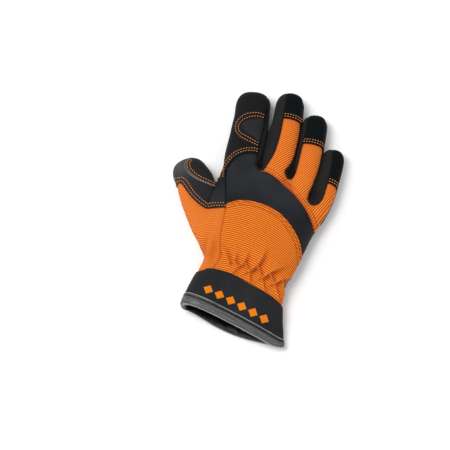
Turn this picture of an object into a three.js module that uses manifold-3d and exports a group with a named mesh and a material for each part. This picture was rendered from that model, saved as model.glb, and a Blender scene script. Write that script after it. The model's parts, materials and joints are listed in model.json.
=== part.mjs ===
// A child's work glove for the right hand, lying palm down and filled out as if a hand were in it.
// Millimetres, +Z up. The origin is on the floor under the middle of the palm, +Y runs towards the
// fingers and the thumb points to -X.
//
// One hollow form (the hand and its five digits) is worked out from the tables below. It is cut by
// outlines drawn on the back of the hand into the panels that are sewn together on the real glove.
import * as THREE from "three";
import { mergeVertices } from "three/addons/utils/BufferGeometryUtils.js";
import Module from "manifold-3d";

const wasm = await Module();
wasm.setup();

// Driving sizes.
const HAND_LENGTH = 118; // hem to the crotch of the index and middle fingers
const PALM_WIDTH = 82; // across the knuckles
const HAND_THICKNESS = 28; // palm to back of the hand
const WALL = 1.6; // leather, knit and cuff panels
const LINING_WALL = 1.0;
const LINING_DEPTH = 27; // how far the lining reaches in from the hem
const SEAM_GAP = 0.3; // clearance between neighbouring pieces
const BINDING_WALL = 0.9;
const BINDING_WIDTH = 7; // how far the binding covers the cuff
const PAD_WALL = 1.3; // padded patches on the index finger and thumb
const GATHER_COUNT = 7; // folds across the back of the wrist
const GATHER_DEPTH = 2.4;

// Resolution of the rings round the hand and round a digit.
const BACK_SIDES = 4 * GATHER_COUNT; // puts a corner on each fold's ridge and in each valley
const UNDER_SIDES = 16;
const MERGE = 0.12; // faces this close to one plane are merged, well inside SEAM_GAP
const DIGIT_SIDES = 16;
const HAND_SQUARENESS = 2.4; // exponent of the superellipse: 2 is an ellipse
const DIGIT_SQUARENESS = 2.5;

// The hand from the hem to the knuckles. at and skew: shares of the hand's length, and the slope of the
// section across the hand. left and right: shares of the palm's width. bottom and top: shares of its
// thickness. wedge: how much thinner it gets towards the outer side. lean: slope of the section up to the
// back. drawn: how far the underside is drawn in towards the fingers at its two ends. gather: how deep the
// wrist's folds are. A column that is left out is 0.
const HAND_SECTIONS = [
  {
    at: -0.611, left: -0.352, right: 0.585, bottom: 0.048, top: 0.78, skew: -0.058,
    wedge: 0.5, lean: 0.06, drawn: 0.6,
  },
  {
    at: -0.51, left: -0.356, right: 0.556, bottom: 0.045, top: 0.8, skew: -0.085,
    wedge: 0.4, lean: 0.05, drawn: 0.2,
  },
  { at: -0.425, left: -0.342, right: 0.515, bottom: 0.05, top: 0.8, skew: -0.12, wedge: 0.24, lean: 0.03 },
  { at: -0.355, left: -0.328, right: 0.472, bottom: 0.06, top: 0.8, skew: -0.12, wedge: 0.13, gather: 0.45 },
  { at: -0.32, left: -0.322, right: 0.453, bottom: 0.06, top: 0.81, skew: -0.11, wedge: 0.08, gather: 0.8 },
  { at: -0.28, left: -0.326, right: 0.438, bottom: 0.045, top: 0.8, skew: -0.1, wedge: 0.05, gather: 1 },
  { at: -0.24, left: -0.349, right: 0.436, bottom: 0.03, top: 0.85, skew: -0.09, gather: 0.7 },
  { at: -0.195, left: -0.383, right: 0.451, bottom: 0, top: 0.92, skew: -0.06, gather: 0.25 },
  { at: -0.11, left: -0.424, right: 0.47, bottom: -0.03, top: 0.985, skew: -0.05 },
  { at: 0.03, left: -0.445, right: 0.486, bottom: -0.05, top: 1, skew: -0.05 },
  { at: 0.15, left: -0.452, right: 0.508, bottom: -0.04, top: 0.97, skew: -0.08 },
  { at: 0.25, left: -0.455, right: 0.53, bottom: 0, top: 0.91, skew: -0.14 },
  { at: 0.325, left: -0.44, right: 0.535, bottom: 0.08, top: 0.83, skew: -0.22 },
  { at: 0.365, left: -0.4, right: 0.5, bottom: 0.2, top: 0.7, skew: -0.26 },
];
const HEM = HAND_SECTIONS[0].at;
const KNUCKLE_END = HAND_SECTIONS.at(-1).at;

// The digits. x and y: where the centre line starts inside the hand, as shares of the palm's width and the
// hand's length. splay: degrees towards the thumb. length: a share of the hand's length. width and bow (the
// sideways arch of the centre line): shares of the palm's width. thick, rise and tipRise (the height of the
// centre line at the start and at the tip): shares of the hand's thickness.
const DIGITS = {
  thumb: {
    x: -0.32, y: -0.1, splay: 37.5, length: 0.534, width: 0.312, bow: 0.006,
    thick: 0.732, rise: 0.45, tipRise: 0.379,
  },
  index: {
    x: -0.295, y: 0.237, splay: 8.2, length: 0.648, width: 0.329, bow: 0.02,
    thick: 0.679, rise: 0.464, tipRise: 0.329,
  },
  middle: {
    x: 0.018, y: 0.254, splay: 8.3, length: 0.703, width: 0.28, bow: 0.015,
    thick: 0.679, rise: 0.464, tipRise: 0.329,
  },
  ring: {
    x: 0.289, y: 0.237, splay: 8.8, length: 0.636, width: 0.237, bow: 0.012,
    thick: 0.643, rise: 0.443, tipRise: 0.314,
  },
  little: {
    x: 0.448, y: 0.17, splay: 3, length: 0.525, width: 0.21, bow: 0.027,
    thick: 0.589, rise: 0.407, tipRise: 0.286,
  },
};
const reachOf = (digit) => digit.length * HAND_LENGTH;

// How width and thickness run along a digit, as shares of its own sizes, and how far its rounded end reaches
// back from the tip, as a share of its width.
const FINGER_PROFILE = [
  { along: 0, width: 0.5, thick: 1.05 },
  { along: 0.1, width: 0.8, thick: 1.14 },
  { along: 0.22, width: 0.97, thick: 1.12 },
  { along: 0.4, width: 1, thick: 1.06 },
  { along: 0.58, width: 1, thick: 1.03 },
  { along: 0.74, width: 0.98, thick: 1 },
];
const THUMB_PROFILE = [
  { along: -0.36, width: 0.6, thick: 0.9 },
  { along: -0.16, width: 0.88, thick: 1.02 },
  { along: 0, width: 1.0, thick: 1.08 },
  { along: 0.25, width: 1.1, thick: 1.1 },
  { along: 0.45, width: 1.14, thick: 1.06 },
  { along: 0.62, width: 1.1, thick: 1.02 },
];
const TIP_ROUNDING = 0.6;
const TIP_SQUARENESS = 2.5;
const TIP_STEPS = [0, 0.45, 0.75, 0.93];

// Sewn edges along the fingers: left and right are shares of the half width at that place along the digit.
const OUTSIDE = 1.5; // a share past the digit's side, where a panel runs round it
const FINGER_EDGES = {
  index: [
    { along: 0.2, left: -OUTSIDE, right: 0.86 },
    { along: 0.3, left: -OUTSIDE, right: 0.76 },
    { along: 0.5, left: -OUTSIDE, right: 0.76 },
    { along: 0.8, left: -OUTSIDE, right: 0.8 },
    { along: 0.97, left: -OUTSIDE, right: 0.7 },
  ],
  middle: [
    { along: 0.2, left: -0.7, right: 0.74 },
    { along: 0.36, left: -0.32, right: 0.86 },
    { along: 0.55, left: -0.2, right: 0.88 },
    { along: 0.72, left: -0.22, right: 0.88 },
    { along: 0.97, left: -0.3, right: 0.8 },
  ],
  ring: [
    { along: 0.22, left: -0.62, right: 0.8 },
    { along: 0.4, left: -0.5, right: 0.88 },
    { along: 0.6, left: -0.5, right: 0.88 },
    { along: 0.8, left: -0.6, right: 0.86 },
    { along: 0.97, left: -0.6, right: 0.8 },
  ],
  little: [
    { along: 0.24, left: -0.05, right: OUTSIDE },
    { along: 0.42, left: 0.05, right: OUTSIDE },
    { along: 0.58, left: 0, right: OUTSIDE },
    { along: 0.8, left: -0.1, right: OUTSIDE },
    { along: 0.97, left: -0.25, right: OUTSIDE },
  ],
};
const SLOT_DEPTH = 3.4; // how far a sidewall's rounded end reaches below the lowest row of its edges
const CAP_START = { middle: 0.705, ring: 0.64, little: 0.51 }; // along the finger, where its cap is sewn on

// Seams on the hand, as shares of the palm's width and the hand's length.
const HAND_SEAMS = {
  // the leather of the index finger meets the knuckle band: up from the thumb's side and over the knuckle
  indexArc: [
    { x: -0.289, y: 0.055 },
    { x: -0.33, y: 0.14 },
    { x: -0.375, y: 0.223 },
    { x: -0.41, y: 0.3 },
    { x: -0.403, y: 0.345 },
    { x: -0.375, y: 0.39 },
    { x: -0.33, y: 0.428 },
    { x: -0.27, y: 0.454 },
    { x: -0.2, y: 0.468 },
    { x: -0.1, y: 0.45 },
  ],
  // between the index finger's leather and the thumb's
  webSeam: [
    { x: -0.449, y: 0.022 },
    { x: -0.449, y: 0.12 },
    { x: -0.459, y: 0.22 },
    { x: -0.5, y: 0.3 },
    { x: -0.62, y: 0.5 },
    { x: -0.9, y: 0.8 },
  ],
  // upper edge of the knuckle band, from the index finger to the outer edge of the hand
  bandTop: [
    { x: -0.7, y: 0.6 },
    { x: -0.24, y: 0.56 },
    { x: -0.15, y: 0.44 },
    { x: -0.13, y: 0.38 },
    { x: -0.06, y: 0.37 },
    { x: 0.03, y: 0.352 },
    { x: 0.166, y: 0.316 },
    { x: 0.289, y: 0.265 },
    { x: 0.402, y: 0.205 },
    { x: 0.517, y: 0.115 },
    { x: 0.7, y: -0.06 },
  ],
  bandBottom: [
    { x: -0.46, y: 0.02 },
    { x: -0.3, y: 0.086 },
    { x: -0.195, y: 0.132 },
    { x: -0.051, y: 0.153 },
    { x: 0.073, y: 0.151 },
    { x: 0.195, y: 0.129 },
    { x: 0.31, y: 0.083 },
    { x: 0.413, y: 0.021 },
    { x: 0.485, y: -0.06 },
    { x: 0.56, y: -0.2 },
  ],
  // from the index finger down to the cuff, between the thumb's side and the back of the hand
  thumbSeam: [
    { x: -0.42, y: 0.4 },
    { x: -0.372, y: 0.223 },
    { x: -0.33, y: 0.14 },
    { x: -0.289, y: 0.055 },
    { x: -0.259, y: -0.064 },
    { x: -0.238, y: -0.136 },
    { x: -0.205, y: -0.2 },
    { x: -0.182, y: -0.237 },
    { x: -0.207, y: -0.31 },
    { x: -0.21, y: -0.4 },
  ],
  // lower edge of the thumb's leather
  leatherEdge: [
    { x: -1.1, y: 0.05 },
    { x: -0.8, y: 0.112 },
    { x: -0.75, y: 0.133 },
    { x: -0.702, y: 0.114 },
    { x: -0.62, y: 0.068 },
    { x: -0.53, y: 0.036 },
    { x: -0.47, y: 0.023 },
    { x: -0.434, y: 0.023 },
    { x: -0.372, y: 0.047 },
    { x: -0.29, y: 0.062 },
    { x: -0.2, y: 0.066 },
  ],
  cuffTop: [
    { x: -0.6, y: -0.42 },
    { x: -0.321, y: -0.366 },
    { x: -0.227, y: -0.33 },
    { x: -0.041, y: -0.322 },
    { x: 0.176, y: -0.345 },
    { x: 0.33, y: -0.361 },
    { x: 0.485, y: -0.392 },
    { x: 0.8, y: -0.5 },
  ],
  // where the side panels end under the hand, on the thumb's side and on the outer side
  underThumbSide: [
    { x: -1.1, y: 0.2 },
    { x: -0.76, y: 0.135 },
    { x: -0.66, y: 0.04 },
    { x: -0.53, y: -0.04 },
    { x: -0.38, y: -0.13 },
    { x: -0.26, y: -0.23 },
    { x: -0.2, y: -0.33 },
    { x: -0.17, y: -0.48 },
    { x: -0.16, y: -0.8 },
  ],
  underOuterSide: [
    { x: 0.47, y: -0.8 },
    { x: 0.43, y: -0.5 },
    { x: 0.4, y: -0.37 },
    { x: 0.47, y: -0.27 },
    { x: 0.8, y: -0.2 },
  ],
};
// Height of the seam between the palm's leather and everything above it, from the hem to the fingertips, as
// shares of the hand's length and thickness.
const SIDE_SEAM = [
  { y: -0.9, height: 0.39 },
  { y: 0.3, height: 0.39 },
  { y: 0.6, height: 0.34 },
  { y: 1.1, height: 0.235 },
];

// Outlines of the padded patches, as shares of the digit's length and of its half width there.
const PADS = {
  index: [
    { along: 0.69, across: 0.66 },
    { along: 0.69, across: 0.3 },
    { along: 0.676, across: 0.02 },
    { along: 0.642, across: -0.34 },
    { along: 0.59, across: -0.46 },
    { along: 0.53, across: -0.2 },
    { along: 0.495, across: 0.32 },
    { along: 0.48, across: 0.66 },
  ],
  thumb: [
    { along: 0.92, across: 0.6 },
    { along: 0.955, across: 0.05 },
    { along: 0.92, across: -0.22 },
    { along: 0.86, across: -0.36 },
    { along: 0.79, across: -0.33 },
    { along: 0.72, across: -0.2 },
    { along: 0.64, across: 0.09 },
    { along: 0.575, across: 0.42 },
    { along: 0.53, across: 0.7 },
    { along: 0.58, across: 0.84 },
    { along: 0.68, across: 0.92 },
    { along: 0.82, across: 0.9 },
  ],
};

const COLOURS = {
  leather: { color: 0x232426, roughness: 0.75, metalness: 0 },
  suede: { color: 0x2a2c30, roughness: 0.9, metalness: 0 },
  knit: { color: 0xef7a1a, roughness: 0.85, metalness: 0 },
  sidewall: { color: 0x26261f, roughness: 0.85, metalness: 0 },
  neoprene: { color: 0x1f2022, roughness: 0.8, metalness: 0 },
  binding: { color: 0x6a6b6d, roughness: 0.4, metalness: 0 },
  lining: { color: 0x101113, roughness: 0.95, metalness: 0 },
};

// A column of a table at a place between its rows, on a smooth curve through them.
function between(rows, key, value, column) {
  let i = rows.findIndex((row) => row[key] > value) - 1;
  if (i < 0) i = value < rows[0][key] ? 0 : rows.length - 2;
  const at = (n) => ({ [column]: 0, ...rows[Math.min(Math.max(n, 0), rows.length - 1)] });
  const [a, b] = [at(i), at(i + 1)];
  const span = b[key] - a[key];
  const slope = (p, q) => (q[column] - p[column]) / (q[key] - p[key] || span);
  const t = (value - a[key]) / span;
  if (t < 0 || t > 1) return a[column] + slope(a, b) * (value - a[key]);
  const [in0, in1] = [slope(at(i - 1), b) * span, slope(a, at(i + 2)) * span];
  const [t2, t3] = [t * t, t * t * t];
  return (
    (2 * t3 - 3 * t2 + 1) * a[column] + (t3 - 2 * t2 + t) * in0 +
    (3 * t2 - 2 * t3) * b[column] + (t3 - t2) * in1
  );
}

// A point of a superellipse with half sizes 1, at an angle.
function superellipse(angle, squareness) {
  const power = (v) => Math.sign(v) * Math.abs(v) ** (2 / squareness);
  return [power(Math.cos(angle)), power(Math.sin(angle))];
}

function toSolid(geometry) {
  const plain = geometry.index ? geometry.toNonIndexed() : geometry;
  plain.deleteAttribute("normal");
  plain.deleteAttribute("uv");
  const merged = mergeVertices(plain, 1e-4);
  const vertProperties = merged.attributes.position.array;
  const triVerts = new Uint32Array(merged.index.array);
  return new wasm.Manifold(new wasm.Mesh({ numProp: 3, vertProperties, triVerts }));
}

// A closed solid through rings of points, with a flat fan at each end.
function loft(rings) {
  const sides = rings[0].length;
  const middle = (ring) =>
    ring.reduce((sum, p) => sum.add(p), new THREE.Vector3()).divideScalar(sides);
  const points = [];
  const triangle = (...corners) => corners.forEach((p) => points.push(p.x, p.y, p.z));
  const [start, end] = [middle(rings[0]), middle(rings.at(-1))];
  for (let s = 0; s < sides; s++) {
    const next = (s + 1) % sides;
    triangle(start, rings[0][next], rings[0][s]);
    triangle(end, rings.at(-1)[s], rings.at(-1)[next]);
    for (let r = 0; r + 1 < rings.length; r++) {
      const [a, b, c, d] = [rings[r][s], rings[r][next], rings[r + 1][next], rings[r + 1][s]];
      triangle(a, b, c);
      triangle(a, c, d);
    }
  }
  const geometry = new THREE.BufferGeometry();
  geometry.setAttribute("position", new THREE.Float32BufferAttribute(points, 3));
  const made = toSolid(geometry);
  return made.volume() > 0 ? made : toSolid(flipped(geometry));
}

function flipped(geometry) {
  const p = geometry.attributes.position.array;
  for (let i = 0; i < p.length; i += 9)
    for (let k = 0; k < 3; k++) [p[i + 3 + k], p[i + 6 + k]] = [p[i + 6 + k], p[i + 3 + k]];
  return geometry;
}

// The back has more corners than the underside, for its folds.
const RING_ANGLES = [
  ...Array.from({ length: BACK_SIDES }, (_, s) => (Math.PI * s) / BACK_SIDES),
  ...Array.from({ length: UNDER_SIDES }, (_, s) => Math.PI + (Math.PI * s) / UNDER_SIDES),
];

// One ring of the hand. grow moves it out from the glove's skin, or in where it is negative.
function handRing(at, grow) {
  const value = (column) => between(HAND_SECTIONS, "at", at, column);
  const [left, right] = [value("left") * PALM_WIDTH, value("right") * PALM_WIDTH];
  const [bottom, top] = [value("bottom") * HAND_THICKNESS, value("top") * HAND_THICKNESS];
  const [middle, heart, reach] = [(left + right) / 2, (bottom + top) / 2, (right - left) / 2];
  return RING_ANGLES.map((angle) => {
    const [across, up] = superellipse(angle, HAND_SQUARENESS);
    const onBack = Math.max(Math.sin(angle), 0) ** 0.5;
    const fold = GATHER_DEPTH * value("gather") * onBack;
    const ripple = -fold * (0.5 - 0.5 * Math.cos(2 * GATHER_COUNT * angle));
    const halfHeight = ((top - bottom) / 2) * (1 - value("wedge") * across);
    const z = Math.max(bottom + halfHeight + (halfHeight + grow) * up + ripple, -grow);
    const x = middle + (reach + grow) * across;
    const drawn = value("drawn") * ((x - middle) / reach) ** 2 * Math.max(heart - z, 0);
    const slope = value("skew") * (x - middle) + value("lean") * (z - heart) + drawn;
    return new THREE.Vector3(x, at * HAND_LENGTH + slope, z);
  });
}

// The hand between two places along it, as one closed solid.
function handTube(from, to, grow) {
  const inside = HAND_SECTIONS.map((row) => row.at).filter((at) => at > from + 0.012 && at < to - 0.012);
  return loft([from, ...inside, to].map((at) => handRing(at, grow)));
}

// The centre line of a digit: a point, the direction along it and the direction across it, in plan.
function digitFrame(digit, along) {
  const splay = THREE.MathUtils.degToRad(digit.splay);
  const reach = along * reachOf(digit);
  const bow = digit.bow * PALM_WIDTH;
  const sideways = bow * Math.sin(Math.PI * Math.min(Math.max(along, 0), 1));
  const turn = (bow * Math.PI * Math.cos(Math.PI * along)) / reachOf(digit);
  const heading = splay - turn;
  const x = digit.x * PALM_WIDTH - Math.sin(splay) * reach + Math.cos(splay) * sideways;
  const y = digit.y * HAND_LENGTH + Math.cos(splay) * reach + Math.sin(splay) * sideways;
  return { x, y, across: [Math.cos(heading), Math.sin(heading)] };
}

const profileOf = (digit) => (digit === DIGITS.thumb ? THUMB_PROFILE : FINGER_PROFILE);

function digitHalfWidth(digit, along) {
  return ((digit.width * PALM_WIDTH) / 2) * between(profileOf(digit), "along", along, "width");
}

// The height of the centre line: level over the hand, then curling down to the tip.
function digitHeight(digit, along) {
  return HAND_THICKNESS * (digit.rise + (digit.tipRise - digit.rise) * Math.max(along, 0) ** 2);
}

function digitRing(digit, along, grow, tip) {
  const { x, y, across } = digitFrame(digit, along);
  const shrink = (1 - tip ** TIP_SQUARENESS) ** (1 / TIP_SQUARENESS);
  const thick = ((digit.thick * HAND_THICKNESS) / 2) * between(profileOf(digit), "along", along, "thick");
  const [halfWidth, halfThick] = [digitHalfWidth(digit, along) + grow, thick + grow];
  return Array.from({ length: DIGIT_SIDES }, (_, s) => {
    const [u, w] = superellipse((2 * Math.PI * s) / DIGIT_SIDES, DIGIT_SQUARENESS);
    const side = u * halfWidth * shrink;
    const z = Math.max(digitHeight(digit, along) + w * halfThick * shrink, -grow);
    return new THREE.Vector3(x + across[0] * side, y + across[1] * side, z);
  });
}

function digitSolid(digit, grow) {
  const tipEnd = 1 + grow / reachOf(digit);
  const tipStart = 1 - (TIP_ROUNDING * digit.width * PALM_WIDTH) / reachOf(digit);
  const straight = profileOf(digit).filter((row) => row.along < tipStart - 0.03);
  return loft([
    ...straight.map((row) => digitRing(digit, row.along, grow, 0)),
    ...TIP_STEPS.map((t) => digitRing(digit, tipStart + (tipEnd - tipStart) * t, grow, t)),
  ]);
}

// The whole glove's form, closed at the hem or running out past it.
function gloveForm(grow, pastHem = 0) {
  return Object.values(DIGITS).reduce(
    (form, digit) => form.add(digitSolid(digit, grow)),
    handTube(HEM - pastHem / HAND_LENGTH, KNUCKLE_END + grow / HAND_LENGTH, grow),
  );
}

const onHand = ({ x, y }) => new THREE.Vector2(x * PALM_WIDTH, y * HAND_LENGTH);

function onDigit(digit, along, share) {
  const { x, y, across } = digitFrame(digit, along);
  const side = share * digitHalfWidth(digit, along);
  return new THREE.Vector2(x + across[0] * side, y + across[1] * side);
}

// A seam's curve on the hand, as points close enough together to look smooth.
function seam(name, steps = 14) {
  return new THREE.SplineCurve(HAND_SEAMS[name].map(onHand)).getPoints(steps);
}

// A closed outline with each side moved outwards.
function grown(outline, distance) {
  const clockwise = THREE.ShapeUtils.isClockWise(outline);
  return outline.map((point, i) => {
    const before = outline.at(i - 1);
    const after = outline[(i + 1) % outline.length];
    const normal = (p, q) => new THREE.Vector2(q.y - p.y, p.x - q.x).normalize();
    const [n1, n2] = [normal(before, point), normal(point, after)];
    const mean = n1.clone().add(n2).normalize();
    const stretch = Math.min(1 / Math.max(mean.dot(n1), 0.5), 2);
    return point.clone().addScaledVector(mean, (clockwise ? -1 : 1) * distance * stretch);
  });
}

const BELOW = -HAND_THICKNESS / 4;
const ABOVE = 2 * HAND_THICKNESS;
const FAR = 2; // a share of the hand's sizes that lies outside the glove

function prism(outline, grow = 0) {
  const shape = new THREE.Shape(grown(outline, grow));
  const geometry = new THREE.ExtrudeGeometry(shape, { depth: ABOVE - BELOW, bevelEnabled: false });
  return toSolid(geometry.translate(0, 0, BELOW));
}

// Everything under the side seam.
function underSideSeam(grow) {
  const line = SIDE_SEAM.map(
    ({ y, height }) => new THREE.Vector2(y * HAND_LENGTH, height * HAND_THICKNESS + grow),
  );
  const floor = [line.at(-1), line[0]].map((p) => new THREE.Vector2(p.x, BELOW - 1));
  const depth = 2 * FAR * PALM_WIDTH;
  const geometry = new THREE.ExtrudeGeometry(new THREE.Shape([...line, ...floor]), {
    depth,
    bevelEnabled: false,
  });
  // the profile was drawn with y to the right and height up: turn it to stand across the hand
  const turn = new THREE.Matrix4().makeBasis(
    new THREE.Vector3(0, 1, 0),
    new THREE.Vector3(0, 0, 1),
    new THREE.Vector3(1, 0, 0),
  );
  return toSolid(geometry.translate(0, 0, -depth / 2).applyMatrix4(turn));
}

const edgeOf = (name, side) =>
  FINGER_EDGES[name].map((row) => onDigit(DIGITS[name], row.along, row[side]));

// A sidewall runs up one finger and down its neighbour: here its outline seen from above.
function sidewallOutline(finger, neighbour) {
  const [up, down] = [edgeOf(finger, "right"), edgeOf(neighbour, "left")];
  const [a, b] = [up[0], down[0]];
  const middle = a.clone().add(b).divideScalar(2);
  const inwards = new THREE.Vector2(b.y - a.y, a.x - b.x).normalize().multiplyScalar(SLOT_DEPTH);
  const corner = (end) => middle.clone().lerp(end, 0.6).addScaledVector(inwards, 0.8);
  return [...up.reverse(), corner(a), middle.clone().add(inwards), corner(b), ...down];
}

// A fingertip's cap reaches from its seam past the tip and round both sides.
function capOutline(name) {
  const digit = DIGITS[name];
  const corner = (along, share) => onDigit(digit, along, share);
  return [
    corner(CAP_START[name], -1.1),
    corner(CAP_START[name] + 0.01, 0),
    corner(CAP_START[name], 1.1),
    corner(1.1, 1.1),
    corner(1.1, -1.1),
  ];
}

const corners = (...list) => list.map(([x, y]) => onHand({ x, y }));
const WEB = onHand(HAND_SEAMS.webSeam[0]); // where the thumb's and the index finger's leather meet the knit

// The panels in the order in which they are cut: each takes what those before it leave.
const PANEL_OUTLINES = {
  sidewall_index_middle: sidewallOutline("index", "middle"),
  sidewall_middle_ring: sidewallOutline("middle", "ring"),
  sidewall_ring_little: sidewallOutline("ring", "little"),
  middle_cap: capOutline("middle"),
  ring_cap: capOutline("ring"),
  little_cap: capOutline("little"),
  index_back: [
    ...seam("indexArc"),
    ...corners([-0.1, 1.2], [-0.9, 1.2]),
    ...seam("webSeam").reverse(),
    ...seam("leatherEdge").filter((p) => p.x > WEB.x && p.x < -0.3 * PALM_WIDTH),
  ],
  cuff_band: [...seam("cuffTop"), ...corners([FAR, -0.6], [FAR, -FAR], [-FAR, -FAR], [-FAR, -0.6])],
  thumb_back: [
    ...seam("leatherEdge").filter((p) => p.x < WEB.x),
    ...seam("webSeam"),
    ...corners([-FAR, 0.8], [-FAR, 0.06]),
  ],
  thumb_gusset: [...seam("thumbSeam"), ...corners([-0.21, -1], [-FAR, -1], [-FAR, 1])],
  back_panel: [...seam("bandBottom"), ...corners([FAR, -0.2], [FAR, -FAR], [-FAR, -FAR], [-FAR, 0.02])],
  knuckle_band: [...seam("bandTop"), ...corners([FAR, -0.06], [FAR, -FAR], [-FAR, -FAR], [-FAR, 0.42])],
  finger_panel: corners([-FAR, -FAR], [FAR, -FAR], [FAR, FAR], [-FAR, FAR]),
};
const PALM_OUTLINE = [
  ...seam("underThumbSide"),
  ...seam("underOuterSide", 10),
  ...corners([FAR, -0.2], [FAR, FAR], [-FAR, FAR], [-FAR, 0.2]),
];

const PANEL_FINISH = {
  palm_leather: "leather",
  sidewall_index_middle: "sidewall",
  sidewall_middle_ring: "sidewall",
  sidewall_ring_little: "sidewall",
  middle_cap: "suede",
  ring_cap: "suede",
  little_cap: "suede",
  index_back: "leather",
  cuff_band: "neoprene",
  thumb_back: "leather",
  thumb_gusset: "knit",
  back_panel: "knit",
  knuckle_band: "suede",
  finger_panel: "knit",
  index_pad: "suede",
  thumb_pad: "suede",
  hem_binding: "binding",
  lining: "lining",
};

const merged = (solid, tolerance = MERGE) => solid.asOriginal().simplify(tolerance);

// The largest body of a solid: cutting can leave crumbs.
function mainBody(solid) {
  return merged(solid, MERGE / 3).decompose().reduce((a, b) => (a.volume() > b.volume() ? a : b));
}

// The hollow skin cut into its panels, each a seam's gap from the last.
function cutPanels() {
  const skin = merged(gloveForm(0)).subtract(merged(gloveForm(-WALL, BINDING_WIDTH)));
  const palmZone = (grow) => prism(PALM_OUTLINE, grow).intersect(underSideSeam(grow));
  const pieces = { palm_leather: mainBody(skin.intersect(palmZone(0))) };
  let left = skin.subtract(palmZone(SEAM_GAP));
  for (const [name, outline] of Object.entries(PANEL_OUTLINES)) {
    pieces[name] = mainBody(left.intersect(prism(outline)));
    left = left.subtract(prism(outline, SEAM_GAP));
  }
  return pieces;
}

// A patch of padding lying on the skin of a digit.
function pad(name) {
  const digit = DIGITS[name];
  const outline = PADS[name].map((row) => onDigit(digit, row.along, row.across));
  const layer = digitSolid(digit, SEAM_GAP + PAD_WALL).subtract(digitSolid(digit, SEAM_GAP));
  const top = layer.intersect(prism(outline)).subtract(underSideSeam(SEAM_GAP));
  return mainBody(top);
}

const LINING_OUT = -WALL - SEAM_GAP;
const LINING_IN = LINING_OUT - LINING_WALL;

// The lining shows inside the cuff: a sleeve from the hem to the wrist, inside the gathers.
function lining() {
  const [start, end] = [HEM + SEAM_GAP * 4 / HAND_LENGTH, HEM + LINING_DEPTH / HAND_LENGTH];
  const past = BINDING_WIDTH / HAND_LENGTH;
  return handTube(start, end, LINING_OUT)
    .subtract(handTube(start - past, end + past, LINING_IN));
}

// The binding is folded over the hem: it holds the edge of the cuff and of the lining in its channel.
function hemBinding() {
  const share = (distance) => distance / HAND_LENGTH;
  const [outer, inner] = [SEAM_GAP, LINING_IN - SEAM_GAP];
  const start = HEM - share(SEAM_GAP + BINDING_WALL);
  const end = HEM + share(BINDING_WIDTH);
  const channel = handTube(HEM - share(SEAM_GAP), end + share(WALL), outer)
    .subtract(handTube(HEM - share(WALL + SEAM_GAP), end + share(2 * WALL), inner));
  return handTube(start, end, outer + BINDING_WALL)
    .subtract(handTube(start - share(WALL), end + share(WALL), inner - BINDING_WALL))
    .subtract(channel);
}

function toMesh(name, solid) {
  const made = solid.getMesh();
  const geometry = new THREE.BufferGeometry();
  geometry.setAttribute("position", new THREE.BufferAttribute(made.vertProperties, 3));
  geometry.setIndex(new THREE.BufferAttribute(made.triVerts, 1));
  const mesh = new THREE.Mesh(geometry, new THREE.MeshStandardMaterial(COLOURS[PANEL_FINISH[name]]));
  mesh.name = name;
  return mesh;
}

const glove = new THREE.Group();
const pieces = {
  ...cutPanels(),
  index_pad: pad("index"),
  thumb_pad: pad("thumb"),
  hem_binding: mainBody(hemBinding()),
  lining: mainBody(lining()),
};
for (const [name, solid] of Object.entries(pieces)) glove.add(toMesh(name, solid));

export default glove;
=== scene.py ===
# %% [markdown]
# # A child's work glove, panel by panel
# A sewn glove is a set of flat cloth and leather panels joined into one hollow skin. This lesson makes that
# skin once, as a smooth form, draws the seams on it, cuts it along them, and gives every panel its own
# thickness, edge, stitches and cloth. All sizes are in millimetres until a mesh is made.

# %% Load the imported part
import json
import math
import time

import bpy
import numpy as np
from mathutils import Matrix, Vector, kdtree
from mathutils.bvhtree import BVHTree

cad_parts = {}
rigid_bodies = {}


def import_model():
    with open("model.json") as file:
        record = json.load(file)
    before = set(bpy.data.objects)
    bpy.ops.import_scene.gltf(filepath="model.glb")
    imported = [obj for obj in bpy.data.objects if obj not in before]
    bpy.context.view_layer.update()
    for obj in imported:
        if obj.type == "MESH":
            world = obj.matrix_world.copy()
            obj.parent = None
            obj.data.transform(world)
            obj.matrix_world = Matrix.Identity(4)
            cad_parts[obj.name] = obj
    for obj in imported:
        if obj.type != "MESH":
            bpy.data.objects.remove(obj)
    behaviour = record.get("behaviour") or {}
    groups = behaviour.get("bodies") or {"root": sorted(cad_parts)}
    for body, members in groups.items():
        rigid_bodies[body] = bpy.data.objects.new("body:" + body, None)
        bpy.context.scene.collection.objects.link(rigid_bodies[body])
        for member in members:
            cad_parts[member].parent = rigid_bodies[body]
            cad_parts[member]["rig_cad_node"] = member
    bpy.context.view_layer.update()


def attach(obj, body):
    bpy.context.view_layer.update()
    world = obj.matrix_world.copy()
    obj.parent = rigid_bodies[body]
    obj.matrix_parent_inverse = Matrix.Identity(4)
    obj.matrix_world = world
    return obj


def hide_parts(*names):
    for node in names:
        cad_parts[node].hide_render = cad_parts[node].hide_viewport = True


clock = time.time()
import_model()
bpy.ops.object.select_all(action="DESELECT")
MM = 0.001

# %% [markdown]
# ## The measurements of the glove
# These are the part's own driving sizes and tables, so that each panel lands on its solid. The hand is a
# stack of oval sections, each finger is a row of ovals along a slightly bowed centre line.

# %% Driving sizes and tables
HAND_LENGTH, PALM_WIDTH, HAND_THICKNESS = 118.0, 82.0, 28.0
BINDING_WALL, LINING_DEPTH, SEAM_GAP = 0.9, 27.0, 0.3
HAND_SQUARENESS, DIGIT_SQUARENESS = 2.4, 2.5
HEM = -0.611  # where the hem runs, as a share of the hand's length

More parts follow.
